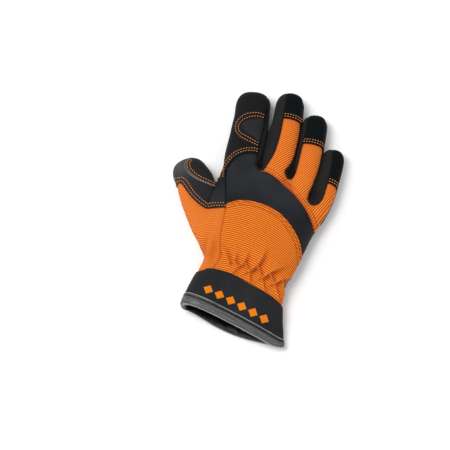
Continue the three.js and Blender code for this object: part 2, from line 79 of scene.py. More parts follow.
# the hand's sections: place along it, left, right, bottom and top, then how far a section slants, how much
# lower its right side is, how far its top leans, and how far its lower corners are drawn up the hand
HAND_SECTIONS = [
    (-0.611, -0.352, 0.585, 0.048, 0.78, -0.058, 0.5, 0.06, 0.6),
    (-0.51, -0.356, 0.556, 0.045, 0.8, -0.085, 0.4, 0.05, 0.2),
    (-0.425, -0.342, 0.515, 0.05, 0.8, -0.12, 0.24, 0.03, 0),
    (-0.355, -0.328, 0.472, 0.06, 0.8, -0.12, 0.13, 0, 0),
    (-0.32, -0.322, 0.453, 0.06, 0.81, -0.11, 0.08, 0, 0),
    (-0.28, -0.326, 0.438, 0.045, 0.8, -0.1, 0.05, 0, 0),
    (-0.24, -0.349, 0.436, 0.03, 0.85, -0.09, 0, 0, 0),
    (-0.195, -0.383, 0.451, 0, 0.92, -0.06, 0, 0, 0),
    (-0.11, -0.424, 0.47, -0.03, 0.985, -0.05, 0, 0, 0),
    (0.03, -0.445, 0.486, -0.05, 1, -0.05, 0, 0, 0),
    (0.15, -0.452, 0.508, -0.04, 0.97, -0.08, 0, 0, 0),
    (0.25, -0.455, 0.53, 0, 0.91, -0.14, 0, 0, 0),
    (0.325, -0.44, 0.535, 0.08, 0.83, -0.22, 0, 0, 0),
    (0.365, -0.4, 0.5, 0.2, 0.7, -0.26, 0, 0, 0),
]

DIGITS = {
    "thumb": dict(x=-0.32, y=-0.1, splay=37.5, length=0.534, width=0.312, bow=0.006,
                  thick=0.732, rise=0.45, tip_rise=0.379),
    "index": dict(x=-0.295, y=0.237, splay=8.2, length=0.648, width=0.329, bow=0.02,
                  thick=0.679, rise=0.464, tip_rise=0.329),
    "middle": dict(x=0.018, y=0.254, splay=8.3, length=0.703, width=0.28, bow=0.015,
                   thick=0.679, rise=0.464, tip_rise=0.329),
    "ring": dict(x=0.289, y=0.237, splay=8.8, length=0.636, width=0.237, bow=0.012,
                 thick=0.643, rise=0.443, tip_rise=0.314),
    "little": dict(x=0.448, y=0.17, splay=3, length=0.525, width=0.21, bow=0.027,
                   thick=0.589, rise=0.407, tip_rise=0.286),
}
FINGERS = ("index", "middle", "ring", "little")
CAPPED = FINGERS[1:]  # the fingers with a suede cap

# place along a digit, and its width and thickness there
FINGER_PROFILE = [(0, 0.5, 1.05), (0.1, 0.8, 1.14), (0.22, 0.97, 1.12), (0.4, 1, 1.06), (0.58, 1, 1.03),
                  (0.74, 0.98, 1)]
THUMB_PROFILE = [(-0.36, 0.6, 0.9), (-0.16, 0.88, 1.02), (0, 1.0, 1.08), (0.25, 1.1, 1.1),
                 (0.45, 1.14, 1.06), (0.62, 1.1, 1.02)]
TIP_ROUNDING, TIP_SQUARENESS, TIP_REACH = 0.6, 2.5, 0.965
INDEX_TIP_SQUARENESS = 3.3  # the index finger's leather tip is a little boxier than the caps
SQUEEZE = 0.55  # the fingers are drawn this much slimmer on each side, so that they stay apart
print("hand:", len(HAND_SECTIONS), "sections, digits:", *DIGITS)


# %% Helpers for the tables
def between(rows, place):
    """All columns of a table at places between its rows, on a smooth curve through them."""
    rows = np.asarray(rows, float)
    place = np.atleast_1d(np.asarray(place, float))
    i = np.clip(np.searchsorted(rows[:, 0], place, side="right") - 1, 0, len(rows) - 2)
    before, a, b, after = (rows[np.clip(i + k, 0, len(rows) - 1)] for k in (-1, 0, 1, 2))
    span = b[:, :1] - a[:, :1]

    def slope(p, q):
        gap = q[:, :1] - p[:, :1]
        return (q - p) / np.where(gap == 0, span, gap)

    t = (place[:, None] - a[:, :1]) / span
    curve = ((2 * t**3 - 3 * t**2 + 1) * a + (t**3 - 2 * t**2 + t) * slope(before, b) * span
             + (3 * t**2 - 2 * t**3) * b + (t**3 - t**2) * slope(a, after) * span)
    straight = a + slope(a, b) * (place[:, None] - a[:, :1])
    return np.where((t < 0) | (t > 1), straight, curve)


def step(low, high, value):
    """0 below low, 1 above high, a smooth ramp between them."""
    t = np.clip((value - low) / (high - low), 0, 1)
    return t * t * (3 - 2 * t)


def hill(distance, width):
    """1 at no distance, and nearly nothing from twice the width on."""
    return np.exp(-((distance / width) ** 2))


def superellipse(angles, squareness):
    """An oval of radius 1: an ellipse at 2, and boxier above."""
    def power(v):
        return np.sign(v) * np.abs(v) ** (2 / squareness)
    return power(np.cos(angles)), power(np.sin(angles))


def on_hand(pairs):
    """Points in plan from shares of the palm's width and of the hand's length."""
    return np.array(pairs, float) * (PALM_WIDTH, HAND_LENGTH)


def curve_through(corners, steps=90, closed=False):
    """A smooth curve (Catmull-Rom) through points in plan."""
    corners = np.asarray(corners, float)
    count = len(corners)
    place = np.linspace(0, count if closed else count - 1, steps, endpoint=not closed)
    i = np.minimum(place.astype(int), count - 1 if closed else count - 2)
    picks = [(i + k) % count if closed else np.clip(i + k, 0, count - 1) for k in (-1, 0, 1, 2)]
    p0, p1, p2, p3 = (corners[k] for k in picks)
    t = (place - i)[:, None]
    v0, v1 = (p2 - p0) / 2, (p3 - p1) / 2
    return (2 * p1 - 2 * p2 + v0 + v1) * t**3 + (-3 * p1 + 3 * p2 - 2 * v0 - v1) * t**2 + v0 * t + p1


# %% Sections of the hand and the digits
def hem_slope(at, x, z):
    """How far a section's points run ahead of its place along the hand."""
    _, left, right, bottom, top, skew, _, lean, drawn = between(HAND_SECTIONS, at)[0]
    middle, reach = (left + right) / 2 * PALM_WIDTH, (right - left) / 2 * PALM_WIDTH
    heart = (bottom + top) / 2 * HAND_THICKNESS
    pulled = drawn * ((x - middle) / reach) ** 2 * np.maximum(heart - z, 0)
    return skew * (x - middle) + lean * (z - heart) + pulled


def hand_ring(at, angles, grow=0.0):
    """Points round the hand at a place along it, moved outwards by grow millimetres."""
    _, left, right, bottom, top, _, wedge, _, _ = between(HAND_SECTIONS, at)[0]
    left, right = left * PALM_WIDTH, right * PALM_WIDTH
    bottom, top = bottom * HAND_THICKNESS, top * HAND_THICKNESS
    across, up = superellipse(angles, HAND_SQUARENESS)
    half_height = (top - bottom) / 2 * (1 - wedge * across)
    z = np.maximum(bottom + half_height + (half_height + grow) * up, -grow)
    x = (left + right) / 2 + ((right - left) / 2 + grow) * across
    return np.stack([x, at * HAND_LENGTH + hem_slope(at, x, z), z], 1)


def digit_frame(digit, along):
    """Points of a digit's centre line in plan, and the direction across it there."""
    along = np.asarray(along, float)
    splay, length = math.radians(digit["splay"]), digit["length"] * HAND_LENGTH
    bow = digit["bow"] * PALM_WIDTH
    sideways = bow * np.sin(math.pi * np.clip(along, 0, 1))
    heading = splay - bow * math.pi * np.cos(math.pi * along) / length
    x = digit["x"] * PALM_WIDTH - math.sin(splay) * along * length + math.cos(splay) * sideways
    y = digit["y"] * HAND_LENGTH + math.cos(splay) * along * length + math.sin(splay) * sideways
    return np.stack([x, y], -1), np.stack([np.cos(heading), np.sin(heading)], -1)


def profile_of(digit):
    return THUMB_PROFILE if digit is DIGITS["thumb"] else FINGER_PROFILE


def half_width(digit, along):
    return digit["width"] * PALM_WIDTH / 2 * between(profile_of(digit), along)[:, 1]


def on_digit(digit, along, share):
    """A point in plan, at a share of a digit's length and of its half width."""
    along = np.atleast_1d(np.asarray(along, float))
    centre, across = digit_frame(digit, along)
    return centre + across * (np.asarray(share) * half_width(digit, along))[:, None]


def digit_ring(digit, along, angles, tip, squeeze):
    """Points round a digit. tip goes from 0 to 1 over its rounded end, squeeze comes off on each side."""
    centre, across = digit_frame(digit, along)
    roundness = INDEX_TIP_SQUARENESS if digit is DIGITS["index"] else TIP_SQUARENESS
    shrink = (1 - tip**roundness) ** (1 / roundness)
    thick = digit["thick"] * HAND_THICKNESS / 2 * between(profile_of(digit), along)[0, 2]
    height = HAND_THICKNESS * (digit["rise"] + (digit["tip_rise"] - digit["rise"]) * max(along, 0) ** 2)
    u, w = superellipse(angles, DIGIT_SQUARENESS)
    side = u * (half_width(digit, along)[0] - squeeze) * shrink
    z = np.maximum(height + w * thick * shrink, 0)
    return np.stack([centre[0] + across[0] * side, centre[1] + across[1] * side, z], 1)


# %% [markdown]
# ## The form that the panels are cut from
# A glove on a hand is one soft skin, so the hand and its five digits are lofted as closed tubes, joined, and
# remeshed with small voxels. That melts them into one surface with soft webs between the fingers, which no
# boolean gives. A Smooth modifier takes the voxel steps away.


# %% Loft the hand and the digits
def loft(name, rings):
    """A closed tube through rings of points, as a new object."""
    rings = np.array(rings)
    count, sides = rings.shape[:2]
    faces = [list(range(sides))[::-1], list(range((count - 1) * sides, count * sides))]
    for r in range(count - 1):
        for s in range(sides):
            n = (s + 1) % sides
            faces.append([r * sides + s, r * sides + n, (r + 1) * sides + n, (r + 1) * sides + s])
    mesh = bpy.data.meshes.new(name)
    mesh.from_pydata((rings.reshape(-1, 3) * MM).tolist(), [], faces)
    made = bpy.data.objects.new(name, mesh)
    bpy.context.collection.objects.link(made)
    return made


ROUND = np.linspace(0, 2 * math.pi, 96, endpoint=False)
PAST_HEM = 0.05  # the hand runs on a little past the hem, where it is cut off later
hand_places = np.linspace(HEM - PAST_HEM, HAND_SECTIONS[-1][0], 130)
tubes = [loft("glove_form", [hand_ring(at, ROUND) for at in hand_places])]
for digit_name, digit in DIGITS.items():
    tip_start = 1 - TIP_ROUNDING * digit["width"] / digit["length"] * PALM_WIDTH / HAND_LENGTH
    straight = np.linspace(profile_of(digit)[0][0], tip_start, 60)
    squeeze = 0.0 if digit_name == "thumb" else SQUEEZE
    rings = [digit_ring(digit, a, ROUND[::2], 0, squeeze * step(0.1, 0.2, a)) for a in straight]
    for t in np.sin(np.linspace(0, math.pi / 2, 16)[1:]) * 0.9995:
        along = tip_start + (1 - tip_start) * TIP_REACH * t
        rings.append(digit_ring(digit, along, ROUND[::2], t, squeeze))
    tubes.append(loft(digit_name + "_form", rings))
print("lofted", len(tubes), "tubes")

# %% Webs between three of the fingers
# centre, and reach on each side of it: each web is an upright oval that fills the bottom of a gap
WEBS = [((0.125 * PALM_WIDTH, 0.37 * HAND_LENGTH, 11.0), (6.5, 7.5, 7.0)),
        ((-0.147 * PALM_WIDTH, 0.42 * HAND_LENGTH, 8.5), (2.6, 9.0, 4.5))]
for centre, reach in WEBS:
    rings = []
    for t in np.linspace(-0.98, 0.98, 14):
        wide = math.sqrt(1 - t * t)
        rings.append(np.stack([centre[0] + reach[0] * wide * np.cos(ROUND[::4]),
                               centre[1] - reach[1] * wide * np.sin(ROUND[::4]),
                               np.full(len(ROUND[::4]), centre[2] + reach[2] * t)], 1))
    tubes.append(loft("web_form", rings))

# %% Melt the tubes into one skin
VOXEL, SMOOTHING_ROUNDS = 0.68, 8
for tube in tubes:
    tube.select_set(True)
bpy.context.view_layer.objects.active = tubes[0]
bpy.ops.object.join()
form = bpy.context.view_layer.objects.active
voxels = form.modifiers.new("Melt together", "REMESH")
voxels.mode, voxels.voxel_size = "VOXEL", VOXEL * MM
bpy.ops.object.modifier_apply(modifier=voxels.name)
soften = form.modifiers.new("Soften", "SMOOTH")
soften.factor, soften.iterations = 0.5, SMOOTHING_ROUNDS
bpy.ops.object.modifier_apply(modifier=soften.name)
print("the form has", len(form.data.vertices), "vertices", round(time.time() - clock, 1), "s")


# %% Read the form as arrays
def arrays_of(mesh):
    """Corner points in millimetres, and triangles, each quad split along its shorter diagonal."""
    points = np.zeros(len(mesh.vertices) * 3)
    mesh.vertices.foreach_get("co", points)
    points = points.reshape(-1, 3) / MM
    corners = np.zeros(len(mesh.loops), int)
    mesh.loops.foreach_get("vertex_index", corners)
    quads = corners.reshape(-1, 4)
    a, b, c, d = (points[quads[:, k]] for k in range(4))
    short = np.linalg.norm(a - c, axis=1) < np.linalg.norm(b - d, axis=1)
    q = np.where(short[:, None], quads, np.roll(quads, -1, axis=1))
    return points, np.concatenate([q[:, [0, 1, 2]], q[:, [0, 2, 3]]])


def normals_of(points, triangles):
    """The surface's direction at each point: the sum over the triangles round it."""
    a, b, c = (points[triangles[:, k]] for k in range(3))
    face = np.cross(b - a, c - a)
    total = np.zeros_like(points)
    for k in range(3):
        np.add.at(total, triangles[:, k], face)
    return total / np.maximum(np.linalg.norm(total, axis=1, keepdims=True), 1e-12)


points, triangles = arrays_of(form.data)
bpy.data.objects.remove(form)
print("read", len(points), "points and", len(triangles), "triangles")

# %% [markdown]
# ## Fingers that stand apart, and a flat thumb
# The voxels would have melted neighbouring fingers together, so they were lofted a little too slim. Each
# point of a finger is now moved outwards again, by its share of the finger's width. The thumb gets its flat
# inner side in the same way. Sculpting could do this by hand, but points that are moved in code stay where
# the tables say, and only the digit that is meant changes.


# %% Give the fingers back their width
def digit_place(digit, plan):
    """Where points in plan lie on a digit: share of its length, and share of its half width."""
    splay, length = math.radians(digit["splay"]), digit["length"] * HAND_LENGTH
    start = np.array([digit["x"] * PALM_WIDTH, digit["y"] * HAND_LENGTH])
    along = (plan - start) @ np.array([-math.sin(splay), math.cos(splay)]) / length
    centre, across = digit_frame(digit, along)
    return along, np.sum((plan - centre) * across, 1) / np.maximum(half_width(digit, along), 1)


SPREAD = 1.6  # near their tips, the facing sides of index and middle finger lose this share of it again
widened = np.full(len(points), 9.0)
shift = np.zeros((len(points), 2))
for digit_name in FINGERS:
    digit = DIGITS[digit_name]
    along, share = digit_place(digit, points[:, :2])
    _, across = digit_frame(digit, along)
    mine = (along > 0.1) & (along < 1.05) & (np.abs(share) < 1.12) & (np.abs(share) < widened)
    widened[mine] = np.abs(share[mine])
    amount = SQUEEZE * step(0.14, 0.34, along) * np.clip(share, -1, 1)
    if digit_name in ("index", "middle"):
        facing = (share > 0) == (digit_name == "index")
        amount *= np.where(facing, 1 - SPREAD * step(0.54, 0.7, along), 1)
    shift[mine] = (across * amount[:, None])[mine]
print("the fingers' points move by up to", round(float(np.abs(shift).max()), 2), "mm")

# %% Shape the thumb and the wrist
THUMB_FLATTENED, THUMB_LEAN = 4.2, 1.8  # taken off the thumb's inner side, and put on outside near its tip
WRIST_TAKEN_IN, WRIST_LET_OUT = 1.4, 0.9  # these make the wrist straighter on the thumb's side
along, share = digit_place(DIGITS["thumb"], points[:, :2])
_, across = digit_frame(DIGITS["thumb"], along)
flat_side = THUMB_FLATTENED * step(0.5, 0.98, along) * np.clip(share, 0, 1)
leaning = THUMB_LEAN * hill(along - 0.93, 0.16) * np.clip(-share, 0, 1)
on_thumb = (along > 0.45) & (along < 1.1) & (np.abs(share) < 1.2)
shift[on_thumb] = (-across * (flat_side + leaning)[:, None])[on_thumb]
points[:, :2] += shift
thumb_side = 1 - step(-32, -24, points[:, 0])
inwards = WRIST_TAKEN_IN * hill(points[:, 1] + 20, 6) - WRIST_LET_OUT * hill(points[:, 1] + 30.5, 4)
points[:, 0] += thumb_side * inwards
points[:, 2] = np.maximum(points[:, 2], 0)
normals = normals_of(points, triangles)
print("digits shaped", round(time.time() - clock, 1), "s")

# %% [markdown]
# ## Folds at the wrist
# A finger's width above the cuff an elastic thread is sewn across the back. It draws the knit in, and the
# spare cloth stands up in sharp crests: a zigzag along the thread, legs down to the cuff, and rays that fan
# out up the hand. A cloth simulation would put them anywhere, so each crest is a short row of points with
# its height, and the cloth falls away from it on both sides, more steeply on its right. Real folds this
# small are deeper than the mesh can show, so a layer called shade marks hollows and crests, and the knit's
# colour gets painted shade in the hollows on each crest's right and a painted highlight on the crests.


# %% Slow unevenness
def waves(points, seed, longest, amount):
    """Slow unevenness over a surface: a few sine waves in seeded directions."""
    chance = np.random.default_rng(seed)
    total = np.zeros(len(points))
    for k in range(7):
        way = chance.normal(size=3)
        way *= 2 * math.pi / (longest * chance.uniform(0.45, 1)) / np.linalg.norm(way)
        total += np.sin(points @ way + chance.uniform(0, 6.28))
    return total * amount / 2.6


points += normals * (waves(points, 3, 34, 0.16) * step(0.5, 3, points[:, 2]))[:, None]
normals = normals_of(points, triangles)
print("box of the form, in mm:", points.min(0).round(1), points.max(0).round(1))

# %% Where the crests run
ELASTIC_START, ELASTIC_END = np.array([-13.9, -26.6]), np.array([33.6, -32.6])
# across, along, height in millimetres: one row of points for each crest, from the cuff upwards
LEGS = [
    [(-0.05, -0.33, 1.2), (-0.022, -0.29, 2.2), (-0.016, -0.26, 2.6), (-0.05, -0.244, 2.6)],
    [(-0.045, -0.328, 1.2), (0.0, -0.27, 2.6), (0.037, -0.23, 3.0)],
    [(0.14, -0.335, 1.2), (0.122, -0.3, 2.0), (0.096, -0.263, 2.6), (0.037, -0.23, 3.0)],
    [(0.29, -0.35, 1.2), (0.258, -0.32, 2.0), (0.224, -0.277, 2.6), (0.193, -0.251, 3.0),
     (0.157, -0.224, 3.4)],
    [(0.43, -0.36, 1.2), (0.399, -0.336, 2.0), (0.335, -0.278, 2.6), (0.309, -0.26, 3.0),
     (0.281, -0.242, 3.4)],
    [(0.48, -0.36, 1.0), (0.447, -0.316, 1.8), (0.418, -0.274, 2.4), (0.389, -0.244, 3.0)],
]
RAYS = [
    [(-0.091, -0.254, 2.4), (-0.14, -0.219, 2.0), (-0.2, -0.19, 0.4)],
    [(-0.016, -0.26, 2.2), (-0.05, -0.24, 2.6), (-0.062, -0.18, 0.3)],
    [(0.037, -0.23, 3.0), (0.035, -0.16, 0.3)],
    [(0.105, -0.266, 2.6), (0.151, -0.221, 3.4), (0.169, -0.172, 2.4), (0.172, -0.11, 0.3)],
    [(0.231, -0.275, 2.6), (0.27, -0.237, 3.4), (0.32, -0.2, 2.4), (0.39, -0.15, 0.3)],
    [(0.342, -0.277, 2.6), (0.384, -0.24, 3.2), (0.46, -0.19, 0.3)],
]
LEG_FALL, RAY_FALL = (2.0, 1.1), (4.0, 1.7)  # how far the cloth falls away to the left and to the right
CRESTS = [(rows, LEG_FALL) for rows in LEGS] + [(rows, RAY_FALL) for rows in RAYS]
DRAWN_IN, HOLLOW = 1.3, 0.5  # how deep the thread draws the knit in, and how deep it sinks beside a crest
FULLNESS = 1.3  # crests stand up by this many times the height in their table
FULL_HEIGHT = 3  # a crest this high gets full painted shade beside it and a full painted highlight on it
GLEAM, DIP_SHADE = 1.3, 0.5  # painted highlight on the crests, and painted shade in the dips by the thumb's seam
print(len(LEGS), "legs and", len(RAYS), "rays")


# %% Gathers at the wrist
def gathers(points, normals):
    """Height of the folds over the smooth wrist, and their shade:
    painted shade over 0 in hollows, and a painted highlight under 0 on crests.
    """
    way = (ELASTIC_END - ELASTIC_START) / np.linalg.norm(ELASTIC_END - ELASTIC_START)
    s = (points[:, :2] - ELASTIC_START) @ way
    t = (points[:, :2] - ELASTIC_START) @ np.array([-way[1], way[0]])
    folds = -DRAWN_IN * np.where(t > 0, hill(t, 7), hill(t, 14)) * step(-9, 0, s)
    near = np.nonzero((np.abs(t) < 22) & (s > -14) & (normals[:, 2] > -0.3))[0]
    crest_height, shade, on_crest = np.zeros(len(near)), np.zeros(len(points)), np.zeros(len(points))
    for rows, (left_fall, right_fall) in CRESTS:
        line = curve_through(np.array(rows) * (PALM_WIDTH, HAND_LENGTH, 1), 50)
        ahead = np.gradient(line[:, :2], axis=0)
        gap = points[near, None, :2] - line[None, :, :2]
        nearest = np.argmin(np.einsum("ijk,ijk->ij", gap, gap), axis=1)
        gap = gap[np.arange(len(near)), nearest]
        on_right = gap[:, 0] * ahead[nearest, 1] > gap[:, 1] * ahead[nearest, 0]
        fall = np.where(on_right, right_fall, left_fall)
        away = np.linalg.norm(gap, axis=1)
        height = line[nearest, 2]
        crest_height = np.maximum(crest_height, height * np.exp(-away / fall))
        # painted shade in the hollow on each crest's right, and a painted highlight on the crest itself
        in_shade = height / FULL_HEIGHT * hill(away - right_fall, 0.95 * right_fall) * on_right
        shade[near] = np.maximum(shade[near], in_shade)
        on_crest[near] = np.maximum(on_crest[near], height / FULL_HEIGHT * hill(away, 0.8))
    folds[near] += FULLNESS * crest_height - HOLLOW * shade[near]
    # soft even dips between the gathers and the thumb's seam, with painted shade in them
    side = step(-30, -14, s) * (1 - step(-6, 1, s))
    dips = side * hill(t, 8) * (0.5 + 0.5 * np.cos(0.85 * s + 0.2 * t))
    return step(-0.5, 0.1, normals[:, 2]) * (folds - dips), shade + DIP_SHADE * dips - GLEAM * on_crest


# %% [markdown]
# ## Seams, and the panels between them
# Each seam is a short row of points drawn on the back of the hand, with a smooth curve through them. The
# panels are taken off one after the other in the same order as in the part: whatever lies inside a panel's
# outline and is still free becomes that panel. Triangles that a seam crosses are split exactly on it, so
# the edges come out smooth, however coarse the mesh is.

# %% Seam tables
HAND_SEAMS = {
    "index_arc": [(-0.289, 0.055), (-0.33, 0.14), (-0.375, 0.223), (-0.41, 0.3), (-0.403, 0.345),
                  (-0.375, 0.39), (-0.33, 0.428), (-0.27, 0.454), (-0.2, 0.468), (-0.1, 0.45)],
    "web": [(-0.449, 0.022), (-0.449, 0.12), (-0.459, 0.22), (-0.5, 0.3), (-0.62, 0.5), (-0.9, 0.8)],
    "band_top": [(-0.7, 0.6), (-0.24, 0.56), (-0.15, 0.44), (-0.13, 0.38), (-0.06, 0.37), (0.03, 0.352),
                 (0.166, 0.316), (0.289, 0.265), (0.402, 0.205), (0.517, 0.115), (0.7, -0.06)],
    "band_bottom": [(-0.46, 0.02), (-0.3, 0.086), (-0.195, 0.132), (-0.051, 0.153), (0.073, 0.151),
                    (0.195, 0.129), (0.31, 0.083), (0.413, 0.021), (0.485, -0.06), (0.56, -0.2)],
    "thumb_side": [(-0.42, 0.4), (-0.372, 0.223), (-0.33, 0.14), (-0.289, 0.055), (-0.259, -0.064),
                   (-0.238, -0.136), (-0.205, -0.2), (-0.182, -0.237), (-0.207, -0.31), (-0.21, -0.4)],
    "leather_edge": [(-1.1, 0.1), (-0.8, 0.13), (-0.75, 0.136), (-0.702, 0.114), (-0.62, 0.068),
                     (-0.53, 0.036), (-0.47, 0.023), (-0.434, 0.023), (-0.372, 0.047), (-0.29, 0.062),
                     (-0.2, 0.066)],
    "cuff_top": [(-0.6, -0.42), (-0.321, -0.366), (-0.227, -0.33), (-0.041, -0.322), (0.176, -0.345),
                 (0.33, -0.361), (0.485, -0.392), (0.8, -0.5)],
    "under_thumb_side": [(-1.1, 0.2), (-0.76, 0.135), (-0.66, 0.04), (-0.53, -0.04), (-0.38, -0.13),
                         (-0.26, -0.23), (-0.2, -0.33), (-0.17, -0.48), (-0.16, -0.8)],
    "under_outer_side": [(0.47, -0.8), (0.43, -0.5), (0.4, -0.37), (0.47, -0.27), (0.8, -0.2)],
}
# the palm leather's upper edge on the outer side: place along the hand, and height, both as shares
SIDE_SEAM = [(-0.9, 0.39), (0.3, 0.39), (0.6, 0.34), (1.1, 0.235)]
print(len(HAND_SEAMS), "seams on the hand")

# %% Tables of the fingers' seams and of the patches
# place along a finger, and where its left and right seam run, as shares of its half width
FINGER_EDGES = {
    "index": [(0.2, -1.5, 0.86), (0.3, -1.5, 0.76), (0.5, -1.5, 0.76), (0.8, -1.5, 0.8), (0.97, -1.5, 0.7)],
    "middle": [(0.2, -0.7, 0.56), (0.26, -0.55, 0.7), (0.36, -0.32, 0.92), (0.55, -0.2, 0.965),
               (0.72, -0.22, 0.95), (0.97, -0.3, 0.84)],
    "ring": [(0.15, -0.72, 0.71), (0.28, -0.74, 0.8), (0.4, -0.7, 0.9), (0.6, -0.66, 0.94),
             (0.8, -0.62, 0.88), (0.97, -0.6, 0.8)],
    "little": [(0.24, 0.1, 1.5), (0.33, 0.19, 1.5), (0.42, 0.17, 1.5), (0.58, 0.1, 1.5), (0.8, 0, 1.5),
               (0.97, -0.15, 1.5)],
}
# across and along, round the bottom of each slot from its left side to its right side
SLOT_BOTTOMS = {
    "index": [(-0.182, 0.405), (-0.172, 0.386), (-0.158, 0.378), (-0.138, 0.374), (-0.118, 0.378),
              (-0.103, 0.389), (-0.096, 0.405)],
    "middle": [(0.079, 0.43), (0.084, 0.412), (0.104, 0.397), (0.134, 0.392), (0.158, 0.406), (0.167, 0.433)],
    "ring": [(0.35, 0.335), (0.356, 0.302), (0.378, 0.28), (0.415, 0.273), (0.447, 0.284), (0.47, 0.31),
             (0.478, 0.342)],
}
CAP_START = {"middle": 0.705, "ring": 0.64, "little": 0.51}
# outline of each padded patch: place along its digit, and share of the half width
PADS = {
    "index": [(0.69, 0.66), (0.69, 0.3), (0.676, 0.02), (0.642, -0.34), (0.59, -0.46), (0.53, -0.2),
              (0.495, 0.32), (0.48, 0.66)],
    "thumb": [(0.92, 0.6), (0.955, 0.05), (0.92, -0.22), (0.86, -0.36), (0.79, -0.33), (0.72, -0.2),
              (0.64, 0.09), (0.575, 0.42), (0.53, 0.7), (0.58, 0.84), (0.68, 0.92), (0.82, 0.9)],
}
FAR = 2  # well outside the hand, in shares of its width or length
print("edges on", len(FINGER_EDGES), "fingers, padded patches:", *PADS)


# %% Curves in plan
def seam(name):
    """A seam of the hand as a smooth line in plan."""
    return curve_through(on_hand(HAND_SEAMS[name]))


def finger_edge(name, column):
    """The seam on one side of a finger: column 1 is its left side and column 2 its right."""
    along = np.linspace(FINGER_EDGES[name][0][0], 0.985, 40)
    share = between(FINGER_EDGES[name], along)[:, column]
    return on_digit(DIGITS[name], along, share)


def slot_bottom(finger):
    return curve_through(on_hand(SLOT_BOTTOMS[finger]), 30)


def sidewall_outline(finger, neighbour):
    """Down one finger, round the bottom of the slot, and up its neighbour."""
    down, bottom, up = finger_edge(finger, 2), slot_bottom(finger), finger_edge(neighbour, 1)
    down, up = down[down[:, 1] > bottom[0, 1] + 0.6], up[up[:, 1] > bottom[-1, 1] + 0.6]
    return np.concatenate([down[::-1], bottom, up])


def cap_edge(name, offset=0.0):
    """The lower edge of a fingertip's cap, moved up the finger by an offset in millimetres."""
    share = np.linspace(-1.25, 1.25, 30)
    digit = DIGITS[name]
    along = CAP_START[name] + 0.011 * (1 - share**2) + offset / (digit["length"] * HAND_LENGTH)
    return on_digit(digit, along, share)


def cap_outline(name):
    return np.concatenate([cap_edge(name), on_digit(DIGITS[name], [1.15, 1.15], [1.25, -1.25])])


def wristward(name, right_end, left_end):
    """All of the plan on the wrist's side of a seam that runs across the hand."""
    round_the_wrist = on_hand([(FAR, right_end), (FAR, -FAR), (-FAR, -FAR), (-FAR, left_end)])
    return np.concatenate([seam(name), round_the_wrist])


# %% Outlines of the panels, in the order in which they are taken off
web_corner = on_hand([HAND_SEAMS["web"][0]])[0]
leather = seam("leather_edge")
past_web, before_arc = leather[:, 0] > web_corner[0], leather[:, 0] < -0.3 * PALM_WIDTH
OUTLINES = {f"sidewall_{left}_{right}": sidewall_outline(left, right) for left, right in zip(FINGERS, CAPPED)}
OUTLINES |= {name + "_cap": cap_outline(name) for name in CAPPED}
OUTLINES |= {
    "index_back": np.concatenate([seam("index_arc"), on_hand([(-0.1, 1.2), (-0.9, 1.2)]),
                                  seam("web")[::-1], leather[past_web & before_arc]]),
    "cuff_band": wristward("cuff_top", -0.6, -0.6),
    "thumb_back": np.concatenate([leather[~past_web], seam("web"), on_hand([(-FAR, 0.8), (-FAR, 0.06)])]),
    "thumb_gusset": np.concatenate([seam("thumb_side"), on_hand([(-0.21, -1), (-FAR, -1), (-FAR, 1)])]),
    "back_panel": wristward("band_bottom", -0.2, 0.02),
    "knuckle_band": wristward("band_top", -0.06, 0.42),
}
PALM_OUTLINE = np.concatenate([seam("under_thumb_side"), seam("under_outer_side"),
                               on_hand([(FAR, -0.2), (FAR, FAR), (-FAR, FAR), (-FAR, 0.2)])])
PANELS = ["palm_leather", *OUTLINES, "finger_panel"]
print("panels:", *PANELS)

# %% Cut triangles along a line
SNAP = 0.1  # a point that is nearer than this to a seam counts as lying on it


def signed_distance(plan, outline):
    """Distance to a closed outline in plan, negative inside it."""
    inside = np.zeros(len(plan), bool)
    nearest = np.full(len(plan), 1e9)
    for a, b in zip(outline, np.roll(outline, -1, axis=0)):
        edge, to = b - a, plan - a
        t = np.clip(to @ edge / max(edge @ edge, 1e-12), 0, 1)
        away = to - t[:, None] * edge
        nearest = np.minimum(nearest, np.einsum("ij,ij->i", away, away))
        crosses = (a[1] > plan[:, 1]) != (b[1] > plan[:, 1])
        rise = b[1] - a[1] if b[1] != a[1] else 1e-12
        inside ^= crosses & (plan[:, 0] < a[0] + (plan[:, 1] - a[1]) * edge[0] / rise)
    return np.where(inside, -1, 1) * np.sqrt(nearest)


